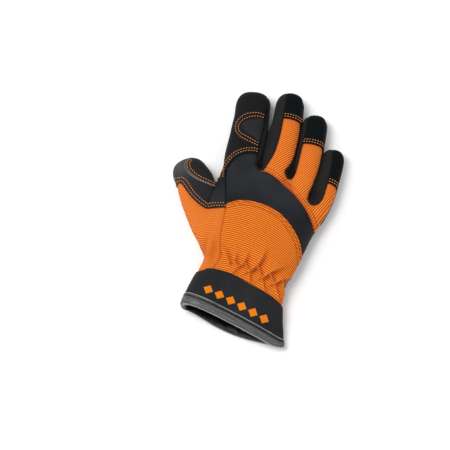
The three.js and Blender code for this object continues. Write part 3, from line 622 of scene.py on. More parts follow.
def cut(surface, triangles, label, field, where):
    """Splits the picked triangles where the field changes sign. surface holds points and normals in rows."""
    field = np.where(np.abs(field) < SNAP, 0, field)
    sign = np.sign(field[triangles])
    crossed = np.nonzero(where & (sign.min(1) < 0) & (sign.max(1) > 0))[0]
    corner, sign = triangles[crossed], sign[crossed]
    has_zero = (sign == 0).any(1)
    odd = np.where(has_zero, np.argmax(sign == 0, 1), np.argmax(sign == -sign.sum(1, keepdims=True), 1))
    r0, r1, r2 = np.take_along_axis(corner, (odd[:, None] + np.arange(3)) % 3, 1).T
    first = np.stack([np.where(has_zero, r1, r0), np.where(has_zero, r2, r1)], 1)
    second = np.stack([r0, r2], 1)[~has_zero]
    edges, index = np.unique(np.sort(np.concatenate([first, second]), 1), axis=0, return_inverse=True)
    index = index.reshape(-1) + len(surface)
    t = (field[edges[:, 0]] / (field[edges[:, 0]] - field[edges[:, 1]]))[:, None]
    surface = np.concatenate([surface, surface[edges[:, 0]] * (1 - t) + surface[edges[:, 1]] * t])
    m, m2 = index[: len(first)], index[len(first):]
    z, n = has_zero, ~has_zero
    new = np.concatenate([
        np.stack([r0[z], r1[z], m[z]], 1), np.stack([r0[z], m[z], r2[z]], 1),
        np.stack([r0[n], m[n], m2], 1), np.stack([m[n], r1[n], r2[n]], 1), np.stack([m[n], r2[n], m2], 1),
    ])
    kept = np.ones(len(triangles), bool)
    kept[crossed] = False
    parents = np.concatenate([crossed[z], crossed[z], crossed[n], crossed[n], crossed[n]])
    field = np.concatenate([field, np.zeros(len(edges))])
    triangles = np.concatenate([triangles[kept], new])
    label = np.concatenate([label[kept], label[parents]])
    inside = field[triangles].sum(1) < 0
    return surface, triangles, label, inside


# %% Cut off what is past the hem, then cut out each panel
surface = np.concatenate([points, normals], 1)
label = np.full(len(triangles), -1)
field = points[:, 1] - HEM * HAND_LENGTH - hem_slope(HEM, points[:, 0], points[:, 2])
surface, triangles, label, inside = cut(surface, triangles, label, field, label < 0)
triangles, label = triangles[~inside], label[~inside]
used, triangles = np.unique(triangles, return_inverse=True)
surface, triangles = surface[used], triangles.reshape(-1, 3)

for number, name in enumerate(PANELS[:-1]):
    plan, height = surface[:, :2], surface[:, 2]
    if name == "palm_leather":
        seam_height = between(SIDE_SEAM, plan[:, 1] / HAND_LENGTH)[:, 1] * HAND_THICKNESS
        field = np.maximum(signed_distance(plan, PALM_OUTLINE), height - seam_height)
    else:
        field = signed_distance(plan, OUTLINES[name])
    surface, triangles, label, inside = cut(surface, triangles, label, field, label < 0)
    label[(label < 0) & inside] = number
label[label < 0] = len(PANELS) - 1
print("cut into", len(PANELS), "panels,", len(triangles), "triangles", round(time.time() - clock, 1), "s")


# %% Give crumbs to their neighbours
def parts_of(triangles):
    """A number for each triangle, the same for all that hang together."""
    used, local = np.unique(triangles, return_inverse=True)
    local = local.reshape(-1, 3)
    part = np.arange(len(used))
    while True:
        lowest = part[local].min(1)
        new = part.copy()
        np.minimum.at(new, local.ravel(), np.repeat(lowest, 3))
        new = new[new]
        if (new == part).all():
            return part[local[:, 0]]
        part = new


for number in range(len(PANELS)):
    mine = np.nonzero(label == number)[0]
    part = parts_of(triangles[mine])
    names, sizes = np.unique(part, return_counts=True)
    for crumb in names[names != names[sizes.argmax()]]:
        chosen = mine[part == crumb]
        touching = np.isin(triangles, triangles[chosen]).any(1) & (label != number)
        label[chosen] = np.bincount(label[touching]).argmax() if touching.any() else number
print("triangles after the crumbs:", {name: int((label == n).sum()) for n, name in enumerate(PANELS)})

# %% Cut the patches out of their panels
padded = np.zeros(len(triangles), int)
for number, (name, rows) in enumerate(PADS.items(), 1):
    panel_number = PANELS.index(name + "_back")
    outline = curve_through(on_digit(DIGITS[name], *np.array(rows).T), 80, closed=True)
    field = signed_distance(surface[:, :2], outline)
    coded = label * 10 + padded
    on_panel = coded // 10 == panel_number
    surface, triangles, coded, inside = cut(surface, triangles, coded, field, on_panel)
    label, padded = coded // 10, coded % 10
    padded[inside & (label == panel_number)] = number
P, N = surface[:, :3], surface[:, 3:] / np.linalg.norm(surface[:, 3:], axis=1, keepdims=True)
print("triangles of the patches:", np.bincount(padded)[1:])

# %% [markdown]
# ## From a cut surface to sewn panels
# A seam shows because the cloth dives into it, or because one panel lies on top of the other. So each panel
# is lifted or lowered by how far a point is from its seams, and then it gets its own thickness. Panels that
# are sewn on top keep a cut edge, with rows of stitches that pull small grooves.

# %% How the panels meet
# over, under, distance of the first row of stitches from the edge, and of the second from the first, with 0
# where no stitches show
OVERLAPS = [
    ("middle_cap", "finger_panel", 1.7, 1.7),
    ("ring_cap", "finger_panel", 1.7, 1.7),
    ("little_cap", "finger_panel", 1.7, 1.7),
    ("index_back", "knuckle_band", 1.9, 2.0),
    ("thumb_back", "thumb_gusset", 1.5, 2.3),
    ("index_back", "thumb_gusset", 1.5, 2.3),
    ("back_panel", "knuckle_band", 1.4, 2.2),
    ("finger_panel", "knuckle_band", 1.4, 2.0),
    ("cuff_band", "back_panel", 0, 0),
    ("cuff_band", "thumb_gusset", 0, 0),
]
THICKNESS = 1.15  # of a panel with its edge, in millimetres
owners = [np.unique(triangles[label == n]) for n in range(len(PANELS))]


def shared(a, b):
    """The points that two panels have in common: their seam."""
    return np.intersect1d(owners[PANELS.index(a)], owners[PANELS.index(b)])


def hardly_sinks(a, b):
    """True of the seams between side cloth and a cap or the index finger's leather."""
    return ("sidewall" in a) != ("sidewall" in b) and ("cap" in a + b or "index_back" in a + b)


def together(lines):
    """One array of points from some lines of them, which may be none."""
    return np.concatenate(lines) if lines else np.zeros(0, int)


def distance_to(targets, places, limit=99.0):
    """How far each place is from the nearest of the targets, or the limit where there are none."""
    if not len(targets):
        return np.full(len(places), limit)
    tree = kdtree.KDTree(len(targets))
    for i, p in enumerate(targets):
        tree.insert(p, i)
    tree.balance()
    return np.array([tree.find(p)[2] for p in places])


def edges_of(triangles):
    """The border of a set of triangles, as directed edges."""
    edges = np.concatenate([triangles[:, [0, 1]], triangles[:, [1, 2]], triangles[:, [2, 0]]])
    code = edges[:, 0].astype(np.int64) * 10**7 + edges[:, 1]
    back = edges[:, 1].astype(np.int64) * 10**7 + edges[:, 0]
    return edges[~np.isin(code, back)]


print("points on a seam:", sum(len(shared(a, b)) for i, a in enumerate(PANELS) for b in PANELS[:i]))


# %% Build a closed piece from a set of triangles
def make_object(name, verts, tris, layers=None):
    """A mesh object from arrays in millimetres. layers: name -> one or two numbers for each corner point."""
    mesh = bpy.data.meshes.new(name)
    mesh.vertices.add(len(verts))
    mesh.vertices.foreach_set("co", (verts * MM).astype(np.float32).ravel())
    mesh.loops.add(len(tris) * 3)
    mesh.loops.foreach_set("vertex_index", tris.astype(np.int32).ravel())
    mesh.polygons.add(len(tris))
    mesh.polygons.foreach_set("loop_start", np.arange(0, len(tris) * 3, 3, dtype=np.int32))
    mesh.update(calc_edges=True)
    for layer, values in (layers or {}).items():
        if values.ndim == 2:
            uv = mesh.uv_layers.new(name=layer)
            uv.data.foreach_set("uv", values[tris.ravel()].astype(np.float32).ravel())
        else:
            attribute = mesh.attributes.new(layer, "FLOAT", "POINT")
            attribute.data.foreach_set("value", values.astype(np.float32))
    made = bpy.data.objects.new(name, mesh)
    bpy.context.collection.objects.link(made)
    bpy.ops.object.select_all(action="DESELECT")
    made.select_set(True)
    bpy.context.view_layer.objects.active = made
    bpy.ops.object.shade_smooth_by_angle(angle=math.radians(48))
    return made


def thick_piece(name, tris, top, bottom, layers=None):
    """Closes a set of triangles into a panel: top and bottom are heights over the form at its points."""
    used, local = np.unique(tris, return_inverse=True)
    local = local.reshape(-1, 3)
    count = len(used)
    outer = P[used] + N[used] * top[used][:, None]
    inner = P[used] + N[used] * bottom[used][:, None]
    outer[:, 2], inner[:, 2] = np.maximum(outer[:, 2], 0), np.maximum(inner[:, 2], 0.35)
    rim = edges_of(local)
    a, b = rim.T
    walls = np.concatenate([np.stack([b, a, a + count], 1), np.stack([b, a + count, b + count], 1)])
    faces = np.concatenate([local, local[:, ::-1] + count, walls])
    double = {k: np.concatenate([v[used], v[used]]) for k, v in (layers or {}).items()}
    return make_object(name, np.concatenate([outer, inner]), faces, double)


# %% [markdown]
# ## The way the ribs run
# The knit's ribs run along the hand, but the cloth is pulled round it, so they turn on their way across the
# back and fan out over the fingers. One flat projection would keep them parallel and stretch them on steep
# sides. So each point of a knit panel gets its own knit coordinates, in millimetres along and across the
# ribs, and the finish draws the ribs from them.


# %% Knit coordinates
def turning_ribs(x, y, start, end, angle_start, angle_end):
    """Knit coordinates of ribs whose direction turns evenly from x = start to x = end (degrees)."""
    line = np.linspace(-90, 90, 721)
    share = np.clip((line - start) / (end - start), 0, 1)
    slope = np.tan(np.radians(angle_start + (angle_end - angle_start) * share))
    climb = np.concatenate([[0], np.cumsum((slope[1:] + slope[:-1]) / 2 * np.diff(line))])
    return np.stack([x, y - np.interp(x, line, climb)], 1)


def fanned_ribs(x, y, meeting, reach):
    """Knit coordinates of ribs that all point at one far place, true to size at a distance reach from it."""
    gap = np.stack([meeting[0] - x, meeting[1] - y], 1)
    return np.stack([-np.linalg.norm(gap, axis=1), reach * np.arctan2(gap[:, 1], gap[:, 0])], 1)


# below this level the cloth falls away steeply, so its plan is laid out flat by the depth it has fallen
RIB_LEVEL = 15.5
LEAST_SLANT = 0.4
slant = np.maximum(np.linalg.norm(N[:, :2], axis=1), LEAST_SLANT)
outward = N[:, :2] / slant[:, None]
laid_out = P[:, :2] + outward * np.maximum(RIB_LEVEL - P[:, 2], 0)[:, None]
ribs = {
    "back_panel": turning_ribs(P[:, 0], P[:, 1], -20, 40, 9, -26),
    "thumb_gusset": turning_ribs(laid_out[:, 0], laid_out[:, 1], -38, -24, -34, 46),
    "finger_panel": fanned_ribs(laid_out[:, 0], laid_out[:, 1], (83, 172), 133),
}
plain = P[:, :2]
print("ribs laid on", *ribs)

# %% [markdown]
# ## Each panel's relief and thickness
# Real panels are sewn flat and filled by the hand, so they swell between their seams and dive into them. An
# inset and a bevel would give every edge the same form, but here a seam may sink in, lap over or hardly
# show. So each point's height follows from its distance to each kind of seam, and the panel is then closed
# with an inner face and a wall round its edge.

# %% Which cloth each panel is, and its relief
PANEL_SLOTS = {"palm_leather": "leather", "index_back": "leather", "thumb_back": "leather",
               "middle_cap": "suede", "ring_cap": "suede", "little_cap": "suede", "knuckle_band": "suede",
               "thumb_gusset": "knit", "back_panel": "knit", "finger_panel": "knit", "cuff_band": "neoprene",
               "sidewall_index_middle": "sidewall", "sidewall_middle_ring": "sidewall",
               "sidewall_ring_little": "sidewall"}
SLOT_SINK = {"index": 1.8, "middle": 2.5, "ring": 4.0}  # how far each slot's bottom sinks between the fingers
# relief in millimetres: swelling away from the seams, depth of a sunk and of a shallow seam, rise of an edge
# that laps over, depth of what lies under it
SWELL, SUNK, SHALLOW, LAP, PRESSED = 0.3, 0.6, 0.2, 0.4, 0.5
KNIT_DIP, SKIN_DIP = 0.5, 0.2  # how deep a row of stitches pulls into knit, and into leather or suede
GATHERED = ("back_panel", "thumb_gusset")
# painted highlights on the leather round these places: where, how far round it and how much
PAINTED_HIGHLIGHTS = {"thumb_back": (on_digit(DIGITS["thumb"], 0.9, -0.55), 9, 1.0),
          "index_back": (np.array([-0.45 * PALM_WIDTH, 0.1 * HAND_LENGTH]), 16, 0.3)}


def relief(name, mine, nearest, away_sunk, away_shallow, away_over, away_under):
    """Height of a panel's points over the form, and their shade layer of painted shade and highlights."""
    top = np.full(len(mine), 0.0)
    top += SWELL * (1 - hill(nearest, 4)) - SUNK * hill(away_sunk, 1.0) - SHALLOW * hill(away_shallow, 0.8)
    shade = np.zeros(len(mine))
    if name in GATHERED:
        folds, shade = gathers(P[mine], N[mine])
        top += folds
    # painted highlight on the leather, carried by the shade layer
    if name in PAINTED_HIGHLIGHTS:
        place, reach, amount = PAINTED_HIGHLIGHTS[name]
        shade = amount * hill(np.linalg.norm(P[mine, :2] - place, axis=1), reach)
    if name.startswith("sidewall"):
        finger = name.split("_")[1]
        gaps = [np.linalg.norm(P[mine, :2] - corner, axis=1) for corner in slot_bottom(finger)]
        top -= SLOT_SINK[finger] * hill(np.min(gaps, axis=0), 6.5) * step(0, 4.5, nearest)
    top += LAP * hill(away_over, 6) * (1 - 0.5 * hill(away_sunk, 2)) - PRESSED * hill(away_under, 2.6)
    for a, b, first, second in OVERLAPS:
        if a == name and first:
            away = distance_to(P[shared(a, b)], P[mine])
            dip = KNIT_DIP if "panel" in name else SKIN_DIP
            top -= dip * (hill(away - first, 0.55) + hill(away - first - second, 0.55))
    return top, shade


# %% Make the panels
def on_all_points(mine, values):
    """Values of a panel's own points, in a list over all points of the form."""
    full = np.zeros(len(P))
    full[mine] = values
    return full


panels, heights, sheet_area = {}, {}, {}
for number, name in enumerate(PANELS):
    mine = owners[number]
    tris = triangles[label == number]
    border = np.unique(edges_of(tris))
    hem_line = np.abs(P[border, 1] - HEM * HAND_LENGTH - hem_slope(HEM, P[border, 0], P[border, 2])) < 0.2
    over = together([shared(a, b) for a, b, _, _ in OVERLAPS if a == name])
    under = together([shared(a, b) for a, b, _, _ in OVERLAPS if b == name])
    shallow = together([shared(name, other) for other in PANELS if hardly_sinks(name, other)])
    sunk = np.setdiff1d(border[~hem_line], np.concatenate([over, under, shallow]))
    away = [distance_to(P[line], P[mine]) for line in (sunk, shallow, over, under)]
    nearest = np.min(away, axis=0)
    top, shade = relief(name, mine, nearest, *away)
    heights[name] = on_all_points(mine, top)
    # the shade layer carries painted shade and painted highlights into the colour
    layers = {"knit": ribs.get(name, plain), "seam": on_all_points(mine, np.minimum(nearest, 20)),
              "shade": on_all_points(mine, shade)}
    panels[name] = thick_piece(name + "_sewn", tris, heights[name], heights[name] - THICKNESS, layers)
    a, b, c = (P[tris[:, k]] for k in range(3))
    sheet_area[name] = float(np.linalg.norm(np.cross(b - a, c - a), axis=1).sum() / 2)
print("panels made", round(time.time() - clock, 1), "s")

# %% [markdown]
# ## Padded patches
# The index finger has a padded D on its back and the thumb a patch round its side: a second layer with thin
# foam under it. The layer is taken from the panel's own triangles, so it lies on it without a gap, and it
# rises from its sewn edge to its full height within two millimetres.

# %% Pads
PAD_RISE = {"index": 1.0, "thumb": 0.8}
PAD_EDGE, PAD_LIFT = 0.25, 0.04  # how thick its sewn edge is, and how far its underside lies over the panel
pads = {}
for number, (name, rise) in enumerate(PAD_RISE.items(), 1):
    below = heights[name + "_back"]
    tris = triangles[padded == number]
    used = np.unique(tris)
    border = np.unique(edges_of(tris))
    away = distance_to(P[border], P[used])
    top = below.copy()
    top[used] += PAD_EDGE + rise * (1 - hill(away, 2.0))
    layers = {"knit": plain, "seam": on_all_points(used, away)}
    pads[name] = thick_piece(name + "_patch", tris, top, below + PAD_LIFT, layers)
print({name: len(pad.data.polygons) for name, pad in pads.items()})

# %% [markdown]
# ## The hem
# A strip of grey coated cloth is folded round the raw edges of cuff and lining and sewn through near its
# upper edge. It is swept as one closed profile round the same oval that the cuff ends in.

# %% Sweep a profile round the mouth
SWEEP = np.linspace(0, 2 * math.pi, 260, endpoint=False)


def swept(name, profile, puffs, seed):
    """A closed profile of (distance in from the hem, growth) swept round the mouth, made uneven by puffs."""
    rings = np.array([hand_ring(HEM + a / HAND_LENGTH, SWEEP, g) for a, g in np.asarray(profile, float)])
    count, sides = rings.shape[:2]
    verts = rings.reshape(-1, 3)
    out = verts - verts.mean(0)
    out[:, 1] *= 0.2
    out /= np.linalg.norm(out, axis=1, keepdims=True)
    verts = verts + out * waves(verts, seed, 9, puffs)[:, None]
    verts[:, 2] = np.maximum(verts[:, 2], 0.02)
    s = np.arange(sides)
    quads = []
    for r in range(count):
        n = (r + 1) % count
        quads.append(np.stack([r * sides + s, r * sides + (s + 1) % sides,
                               n * sides + (s + 1) % sides, n * sides + s], 1))
    quads = np.concatenate(quads)
    tris = np.concatenate([quads[:, [0, 1, 2]], quads[:, [0, 2, 3]]])
    a, b, c = (verts[tris[:, k]] for k in range(3))
    if np.einsum("ij,ij->i", a, np.cross(b, c)).sum() < 0:
        tris = tris[:, ::-1]
    turn = np.repeat(np.arange(count) * 1.0, sides)
    girth = np.tile(SWEEP * 34, count)
    upper = np.tile(step(-0.25, 0.3, np.sin(SWEEP)), count)
    layers = {"knit": np.stack([girth, turn], 1), "seam": turn + 9, "upper": upper}
    return make_object(name, verts, tris, layers)


# %% Hem binding and lining
# growth of the strip's two faces next to the cuff: outside it, and inside it
OUT, INSIDE = SEAM_GAP + 0.05, -2.15
fold = [(-0.15 - 1.15 * math.sin(t), (OUT + INSIDE) / 2 + ((OUT - INSIDE) / 2 + BINDING_WALL) * math.cos(t))
        for t in np.linspace(0.15, math.pi - 0.15, 11)]
outside = [(7.0, OUT + 0.5), (6.8, OUT + 0.75), (6.2, OUT + 0.9), (5.6, OUT + 0.85), (5.1, OUT + 0.4),
           (4.7, OUT + 0.4), (4.2, OUT + 0.85), (3.4, OUT + 1.1), (2.2, OUT + 1.15), (1.0, OUT + 1.05)]
inside_face = [(1.0, INSIDE - 0.95), (2.4, INSIDE - 1.0), (3.6, INSIDE - 0.9), (4.6, INSIDE - 0.55),
               (5.0, INSIDE - 0.5), (5.6, INSIDE - 0.8), (6.4, INSIDE - 0.8), (6.8, INSIDE - 0.5)]
channel = [(6.8, INSIDE), (3.5, INSIDE), (0.4, INSIDE), (0.0, (OUT + INSIDE) / 2), (0.4, OUT), (3.5, OUT),
           (7.0, OUT)]
binding = swept("hem_binding_sewn", outside + fold + inside_face + channel, puffs=0.2, seed=5)

LINING_OUT, LINING_IN = -1.45, -2.0
sleeve_in = [(a, LINING_IN + 0.3 * math.sin(a * 0.9) * step(1.5, 6, a))
             for a in np.linspace(LINING_DEPTH, 1.2, 26)]
sleeve_out = [(a, LINING_OUT) for a in np.linspace(1.2, LINING_DEPTH, 12)]
lining = swept("lining_sewn", sleeve_out + sleeve_in, puffs=0.4, seed=8)
print("hem made", round(time.time() - clock, 1), "s")

# %% [markdown]
# ## Stitches
# Each stitch is a short fat thread that dips into the cloth at both ends. One stitch is modelled as a few
# dozen faces and laid again and again along its row. A ray from above finds the place of each one on the
# finished panels.

# %% Find places on the finished surface
skin_of, all_points, all_tris, start = [], [], [], 0
skins = {name: panels[name] for name in PANELS[1:]} | {name + "_pad": pad for name, pad in pads.items()}
for name, piece in skins.items():
    co = np.zeros(len(piece.data.vertices) * 3)
    piece.data.vertices.foreach_get("co", co)
    corner = np.zeros(len(piece.data.loops), int)
    piece.data.loops.foreach_get("vertex_index", corner)
    all_points.append(co.reshape(-1, 3) / MM)
    all_tris.append(corner.reshape(-1, 3) + start)
    start += len(all_points[-1])
    skin_of += [name] * len(all_tris[-1])
tree = BVHTree.FromPolygons(np.concatenate(all_points).tolist(), np.concatenate(all_tris).tolist())


def drop(plan):
    """The point, normal and piece of the finished surface under each point in plan."""
    found = []
    for x, y in plan:
        hit, normal, index, _ = tree.ray_cast((x, y, 60), (0, 0, -1))
        if hit is not None:
            found.append((np.array(hit), np.array(normal), skin_of[index]))
    return found


def offset_curve(curve, distance):
    """A line beside another, at a distance to its left."""
    way = np.gradient(curve, axis=0)
    way /= np.linalg.norm(way, axis=1, keepdims=True)
    return curve + np.stack([-way[:, 1], way[:, 0]], 1) * distance


# %% Rows of stitches
STITCH_PITCH, STITCH_LENGTH = 2.0, 1.2


def stitch_row(plan, allowed, least_up):
    """Places along a row, with the thread's direction and the normal, where the cloth faces up enough."""
    fine = curve_through(plan, 400)
    found = [f for f in drop(fine) if f[2] in allowed and f[1][2] > least_up]
    if len(found) < 3:
        return []
    at = np.array([f[0] for f in found])
    normal = np.array([f[1] for f in found])
    gone = np.concatenate([[0], np.cumsum(np.linalg.norm(np.diff(at, axis=0), axis=1))])
    places = np.arange(0.5 * STITCH_PITCH, gone[-1], STITCH_PITCH)

    def pick(values, s):
        return np.stack([np.interp(s, gone, values[:, k]) for k in range(3)], 1)
    middle, ahead, behind = pick(at, places), pick(at, places + 0.6), pick(at, places - 0.6)
    smooth = pick(normal, places) + pick(normal, places + 1) + pick(normal, places - 1)
    return [(m, (a - b) / max(np.linalg.norm(a - b), 1e-9), n / np.linalg.norm(n))
            for m, a, b, n in zip(middle, ahead, behind, smooth) if np.linalg.norm(a - b) > 0.4]


def rows_beside(line, offsets, allowed, least_up):
    """Rows of stitches at some distances to the left of a line."""
    return [spot for d in offsets for spot in stitch_row(offset_curve(line, d), allowed, least_up)]


# %% One stitch, laid many times
def stitches(name, places, length=STITCH_LENGTH, width=0.23, height=0.3):
    """One object with a stitch at each place."""
    share = np.array([-1, -0.8, -0.35, 0.35, 0.8, 1])
    size = np.array([0.25, 0.8, 1, 1, 0.8, 0.25])
    lift = np.array([-0.25, -0.02, 0.1, 0.1, -0.02, -0.25])
    turn = np.linspace(0, 2 * math.pi, 5, endpoint=False)
    middle, way, normal = (np.array([p[k] for p in places]) for k in range(3))
    side = np.cross(normal, way)
    side /= np.linalg.norm(side, axis=1, keepdims=True)
    upwards = size[:, None] * np.sin(turn) * height + lift[:, None] + 0.08
    verts = (middle[:, None, None] + way[:, None, None] * (share * length / 2)[None, :, None, None]
             + side[:, None, None] * (size[:, None] * np.cos(turn) * width)[None, :, :, None]
             + normal[:, None, None] * upwards[None, :, :, None])
    count, rings, sides = verts.shape[:3]
    faces = []
    for r in range(rings - 1):
        for s in range(sides):
            a, b = r * sides + s, r * sides + (s + 1) % sides
            faces += [(a, b, b + sides), (a, b + sides, a + sides)]
    last = (rings - 1) * sides
    faces += [(0, s + 1, s) for s in range(1, sides - 1)]
    faces += [(last, last + s, last + s + 1) for s in range(1, sides - 1)]
    faces = np.array(faces)[None] + (np.arange(count) * rings * sides)[:, None, None]
    verts = verts.reshape(-1, 3)
    faces = faces.reshape(-1, 3)[:, ::-1]
    layer = np.tile(np.repeat(share, sides), count)
    return make_object(name, verts, faces, {"seam": layer})


# %% Sew the caps and the index finger
thread = {"cap_stitches": [spot for finger in CAPPED for d in (1.5, 3.5)
                           for spot in stitch_row(cap_edge(finger, d), {finger + "_cap"}, 0.12)]}
arc = curve_through(on_hand(HAND_SEAMS["index_arc"]), 200)
arc = arc[arc[:, 1] > 0.262 * HAND_LENGTH]
thread["index_stitches"] = rows_beside(arc, (1.9, 3.9), {"index_back"}, 0.1)
# place along the finger, and share of its half width: two rows round the patch, the outer one first
INDEX_ROWS = [
    [(0.75, 0.684), (0.75, 0.207), (0.728, -0.249), (0.68, -0.604), (0.61, -0.764), (0.536, -0.691),
     (0.476, -0.354), (0.444, 0.157), (0.428, 0.636)],
    [(0.72, 0.672), (0.714, 0.194), (0.69, -0.188), (0.644, -0.494), (0.582, -0.606), (0.52, -0.43),
     (0.486, 0.01), (0.46, 0.468), (0.456, 0.651)],
]
for row in INDEX_ROWS:
    line = on_digit(DIGITS["index"], *np.array(row).T)
    thread["index_stitches"] += stitch_row(line, {"index_back", "index_pad"}, 0.1)
print({name: len(places) for name, places in thread.items()})

# %% Sew the thumb and the band
leather_line = curve_through(on_hand(HAND_SEAMS["leather_edge"]), 300)
thread["thumb_stitches"] = rows_beside(leather_line, (1.5, 3.8), {"thumb_back", "index_back"}, 0.1)
THUMB_OUTER = [(0.942, 0.061), (0.912, -0.096), (0.878, -0.209), (0.84, -0.237), (0.794, -0.226),
               (0.75, -0.155), (0.706, -0.062), (0.67, 0.07), (0.634, 0.204), (0.606, 0.347), (0.58, 0.49),
               (0.556, 0.637), (0.534, 0.816)]
thumb_line = curve_through(on_digit(DIGITS["thumb"], *np.array(THUMB_OUTER).T), 200)
thread["thumb_stitches"] += rows_beside(thumb_line, (0, 2.0), {"thumb_back", "thumb_pad"}, 0.1)
thread["back_stitches"] = []
for seam_name, offsets, panel in (("band_bottom", (-1.4, -3.6), "back_panel"),
                                  ("band_top", (1.4, 3.4), "finger_panel")):
    line = curve_through(on_hand(HAND_SEAMS[seam_name]), 300)
    thread["back_stitches"] += rows_beside(line, offsets, {panel}, 0.2)
sewn = {name: stitches(name, places) for name, places in thread.items()}
print({name: len(places) for name, places in thread.items()}, round(time.time() - clock, 1), "s")

# %% Stitches of the hem
HEM_PITCH = 2.4
ring_at = HEM + 4.9 / HAND_LENGTH
turns = np.linspace(0, 2 * math.pi, 900, endpoint=False)
spots = hand_ring(ring_at, turns, OUT + 0.45)
spokes = hand_ring(ring_at, turns, OUT + 2.45) - spots
gone = np.concatenate([[0], np.cumsum(np.linalg.norm(np.diff(spots, axis=0), axis=1))])
places = []
for s in np.arange(1, gone[-1] - 1, HEM_PITCH):
    i = int(np.searchsorted(gone, s))
    way = spots[(i + 4) % len(turns)] - spots[i - 4]
    out = spokes[i] / np.linalg.norm(spokes[i])
    places.append((spots[i], way / np.linalg.norm(way), out))
hem_thread = stitches("hem_stitches", places, length=1.7, width=0.25, height=0.22)
print("hem stitches:", len(places))

# %% [markdown]
# ## The print on the cuff
# The cuff carries a plain row of orange lozenges, as a thin raised print. A print could also be a colour in
# the cuff's finish, but it would have no thickness at its edge. So each lozenge is a small grid that rays
# from above lay on the cuff, and it is closed underneath.

# %% Lozenges
PRINT_RISE, PRINT_EDGE, PRINT_SINK = 0.16, 0.08, 0.05  # its thickness, how far its edge drops, its underside


def lozenge(centre, long_way, half_long, half_short, n=10):
    """A thin raised diamond on the surface round a point in plan."""
    across = np.array([-long_way[1], long_way[0]])
    u, v = np.meshgrid(np.linspace(-1, 1, n), np.linspace(-1, 1, n), indexing="ij")
    plan = (centre + ((u + v) / 2).reshape(-1, 1) * half_long * long_way
            + ((u - v) / 2).reshape(-1, 1) * half_short * across)
    found = drop(plan)
    if len(found) < n * n:
        return None
    at, normal = np.array([f[0] for f in found]), np.array([f[1] for f in found])
    edge = np.maximum(np.abs(u), np.abs(v)).reshape(-1, 1)
    top = at + normal * (PRINT_RISE - PRINT_EDGE * (edge > 0.98))
    low = at - normal * PRINT_SINK
    g = np.arange(n * n).reshape(n, n)
    quads = np.stack([g[:-1, :-1], g[1:, :-1], g[1:, 1:], g[:-1, 1:]], -1).reshape(-1, 4)
    tris = np.concatenate([quads[:, [0, 1, 2]], quads[:, [0, 2, 3]]])
    a, b, c = top[tris[0]]
    if np.cross(b - a, c - a)[2] < 0:
        tris = tris[:, ::-1]
    a, b = edges_of(tris).T
    walls = np.concatenate([np.stack([b, a, a + n * n], 1), np.stack([b, a + n * n, b + n * n], 1)])
    return np.concatenate([top, low]), np.concatenate([tris, tris[:, ::-1] + n * n, walls])


FIRST_LOZENGE, LAST_LOZENGE, LOZENGES = np.array([-14.0, -55.5]), np.array([30.0, -60.0]), 6
gap = LAST_LOZENGE - FIRST_LOZENGE
way = gap / np.linalg.norm(gap)
verts, faces, start = [], [], 0
for k in range(LOZENGES):
    made = lozenge(FIRST_LOZENGE + gap * k / (LOZENGES - 1), way, 3.7, 3.6)
    if made is not None:
        verts.append(made[0])
        faces.append(made[1] + start)
        start += len(made[0])
cuff_print = make_object("cuff_print", np.concatenate(verts), np.concatenate(faces))
print("lozenges:", len(verts))

# %% [markdown]
# ## Finishes
# Everything on the glove is cloth, leather or coated cloth. Each finish has a height that feeds its bump
# and a colour that changes with it. The effects that several finishes share are node groups.


# %% Small helpers for node trees
def srgb(text):
    """A colour written as in a web page, in Blender's linear values."""
    parts = [int(text[i:i + 2], 16) / 255 for i in (1, 3, 5)]
    return (*[c / 12.92 if c <= 0.04045 else ((c + 0.055) / 1.055) ** 2.4 for c in parts], 1)


def feed(tree, value, socket):
    """Links an output socket to an input, or sets a plain number or colour on it."""
    if isinstance(value, bpy.types.NodeSocket):
        tree.links.new(value, socket)
    else:
        socket.default_value = value


def new_node(tree, kind, inputs=None, **settings):
    """A node with its settings, and with what feeds its inputs."""
    made = tree.nodes.new(kind)
    for key, value in settings.items():
        setattr(made, key, value)
    for key, value in (inputs or {}).items():
        feed(tree, value, made.inputs[key])
    return made


def maths(tree, operation, *values):
    """What a Math node puts out for some sockets or numbers."""
    return new_node(tree, "ShaderNodeMath", dict(enumerate(values)), operation=operation).outputs[0]


def noise(tree, place, scale, detail=2.0, roughness=0.5):
    """What a Noise Texture puts out."""
    inputs = {"Vector": place, "Scale": scale, "Detail": detail, "Roughness": roughness}
    return new_node(tree, "ShaderNodeTexNoise", inputs).outputs[0]


def attribute(tree, name):
    """A layer of numbers that was made with the mesh."""
    return new_node(tree, "ShaderNodeAttribute", attribute_name=name).outputs["Fac"]


def mixed(tree, colour, other, amount, blend="MIX"):
    """A colour turned towards another by an amount, or multiplied by it."""
    made = new_node(tree, "ShaderNodeMix", data_type="RGBA", blend_type=blend)
    for index, value in ((0, amount), (6, colour), (7, other)):
        feed(tree, value, made.inputs[index])
    return made.outputs[2]


def new_group(name, inputs, outputs):
    """A node group. inputs: name -> usual number, or None for a vector. It puts out numbers."""
    group = bpy.data.node_groups.new(name, "ShaderNodeTree")
    for key, usual in inputs.items():
        kind = "NodeSocketVector" if usual is None else "NodeSocketFloat"
        socket = group.interface.new_socket(name=key, in_out="INPUT", socket_type=kind)
        if usual is not None:
            socket.default_value = usual
    for key in outputs:
        group.interface.new_socket(name=key, in_out="OUTPUT", socket_type="NodeSocketFloat")
    return group, group.nodes.new("NodeGroupInput").outputs, group.nodes.new("NodeGroupOutput").inputs


# %% [markdown]
# ## Knit ribs
# The knit is a fine rib: rows of loops that stand up side by side, with a dark groove between them. An image
# of knitwear would be blurred close up. A sine wave across the ribs, raised to a power, gives their round
# backs, and a small wave along them gives the loops, with every other rib half a loop further.

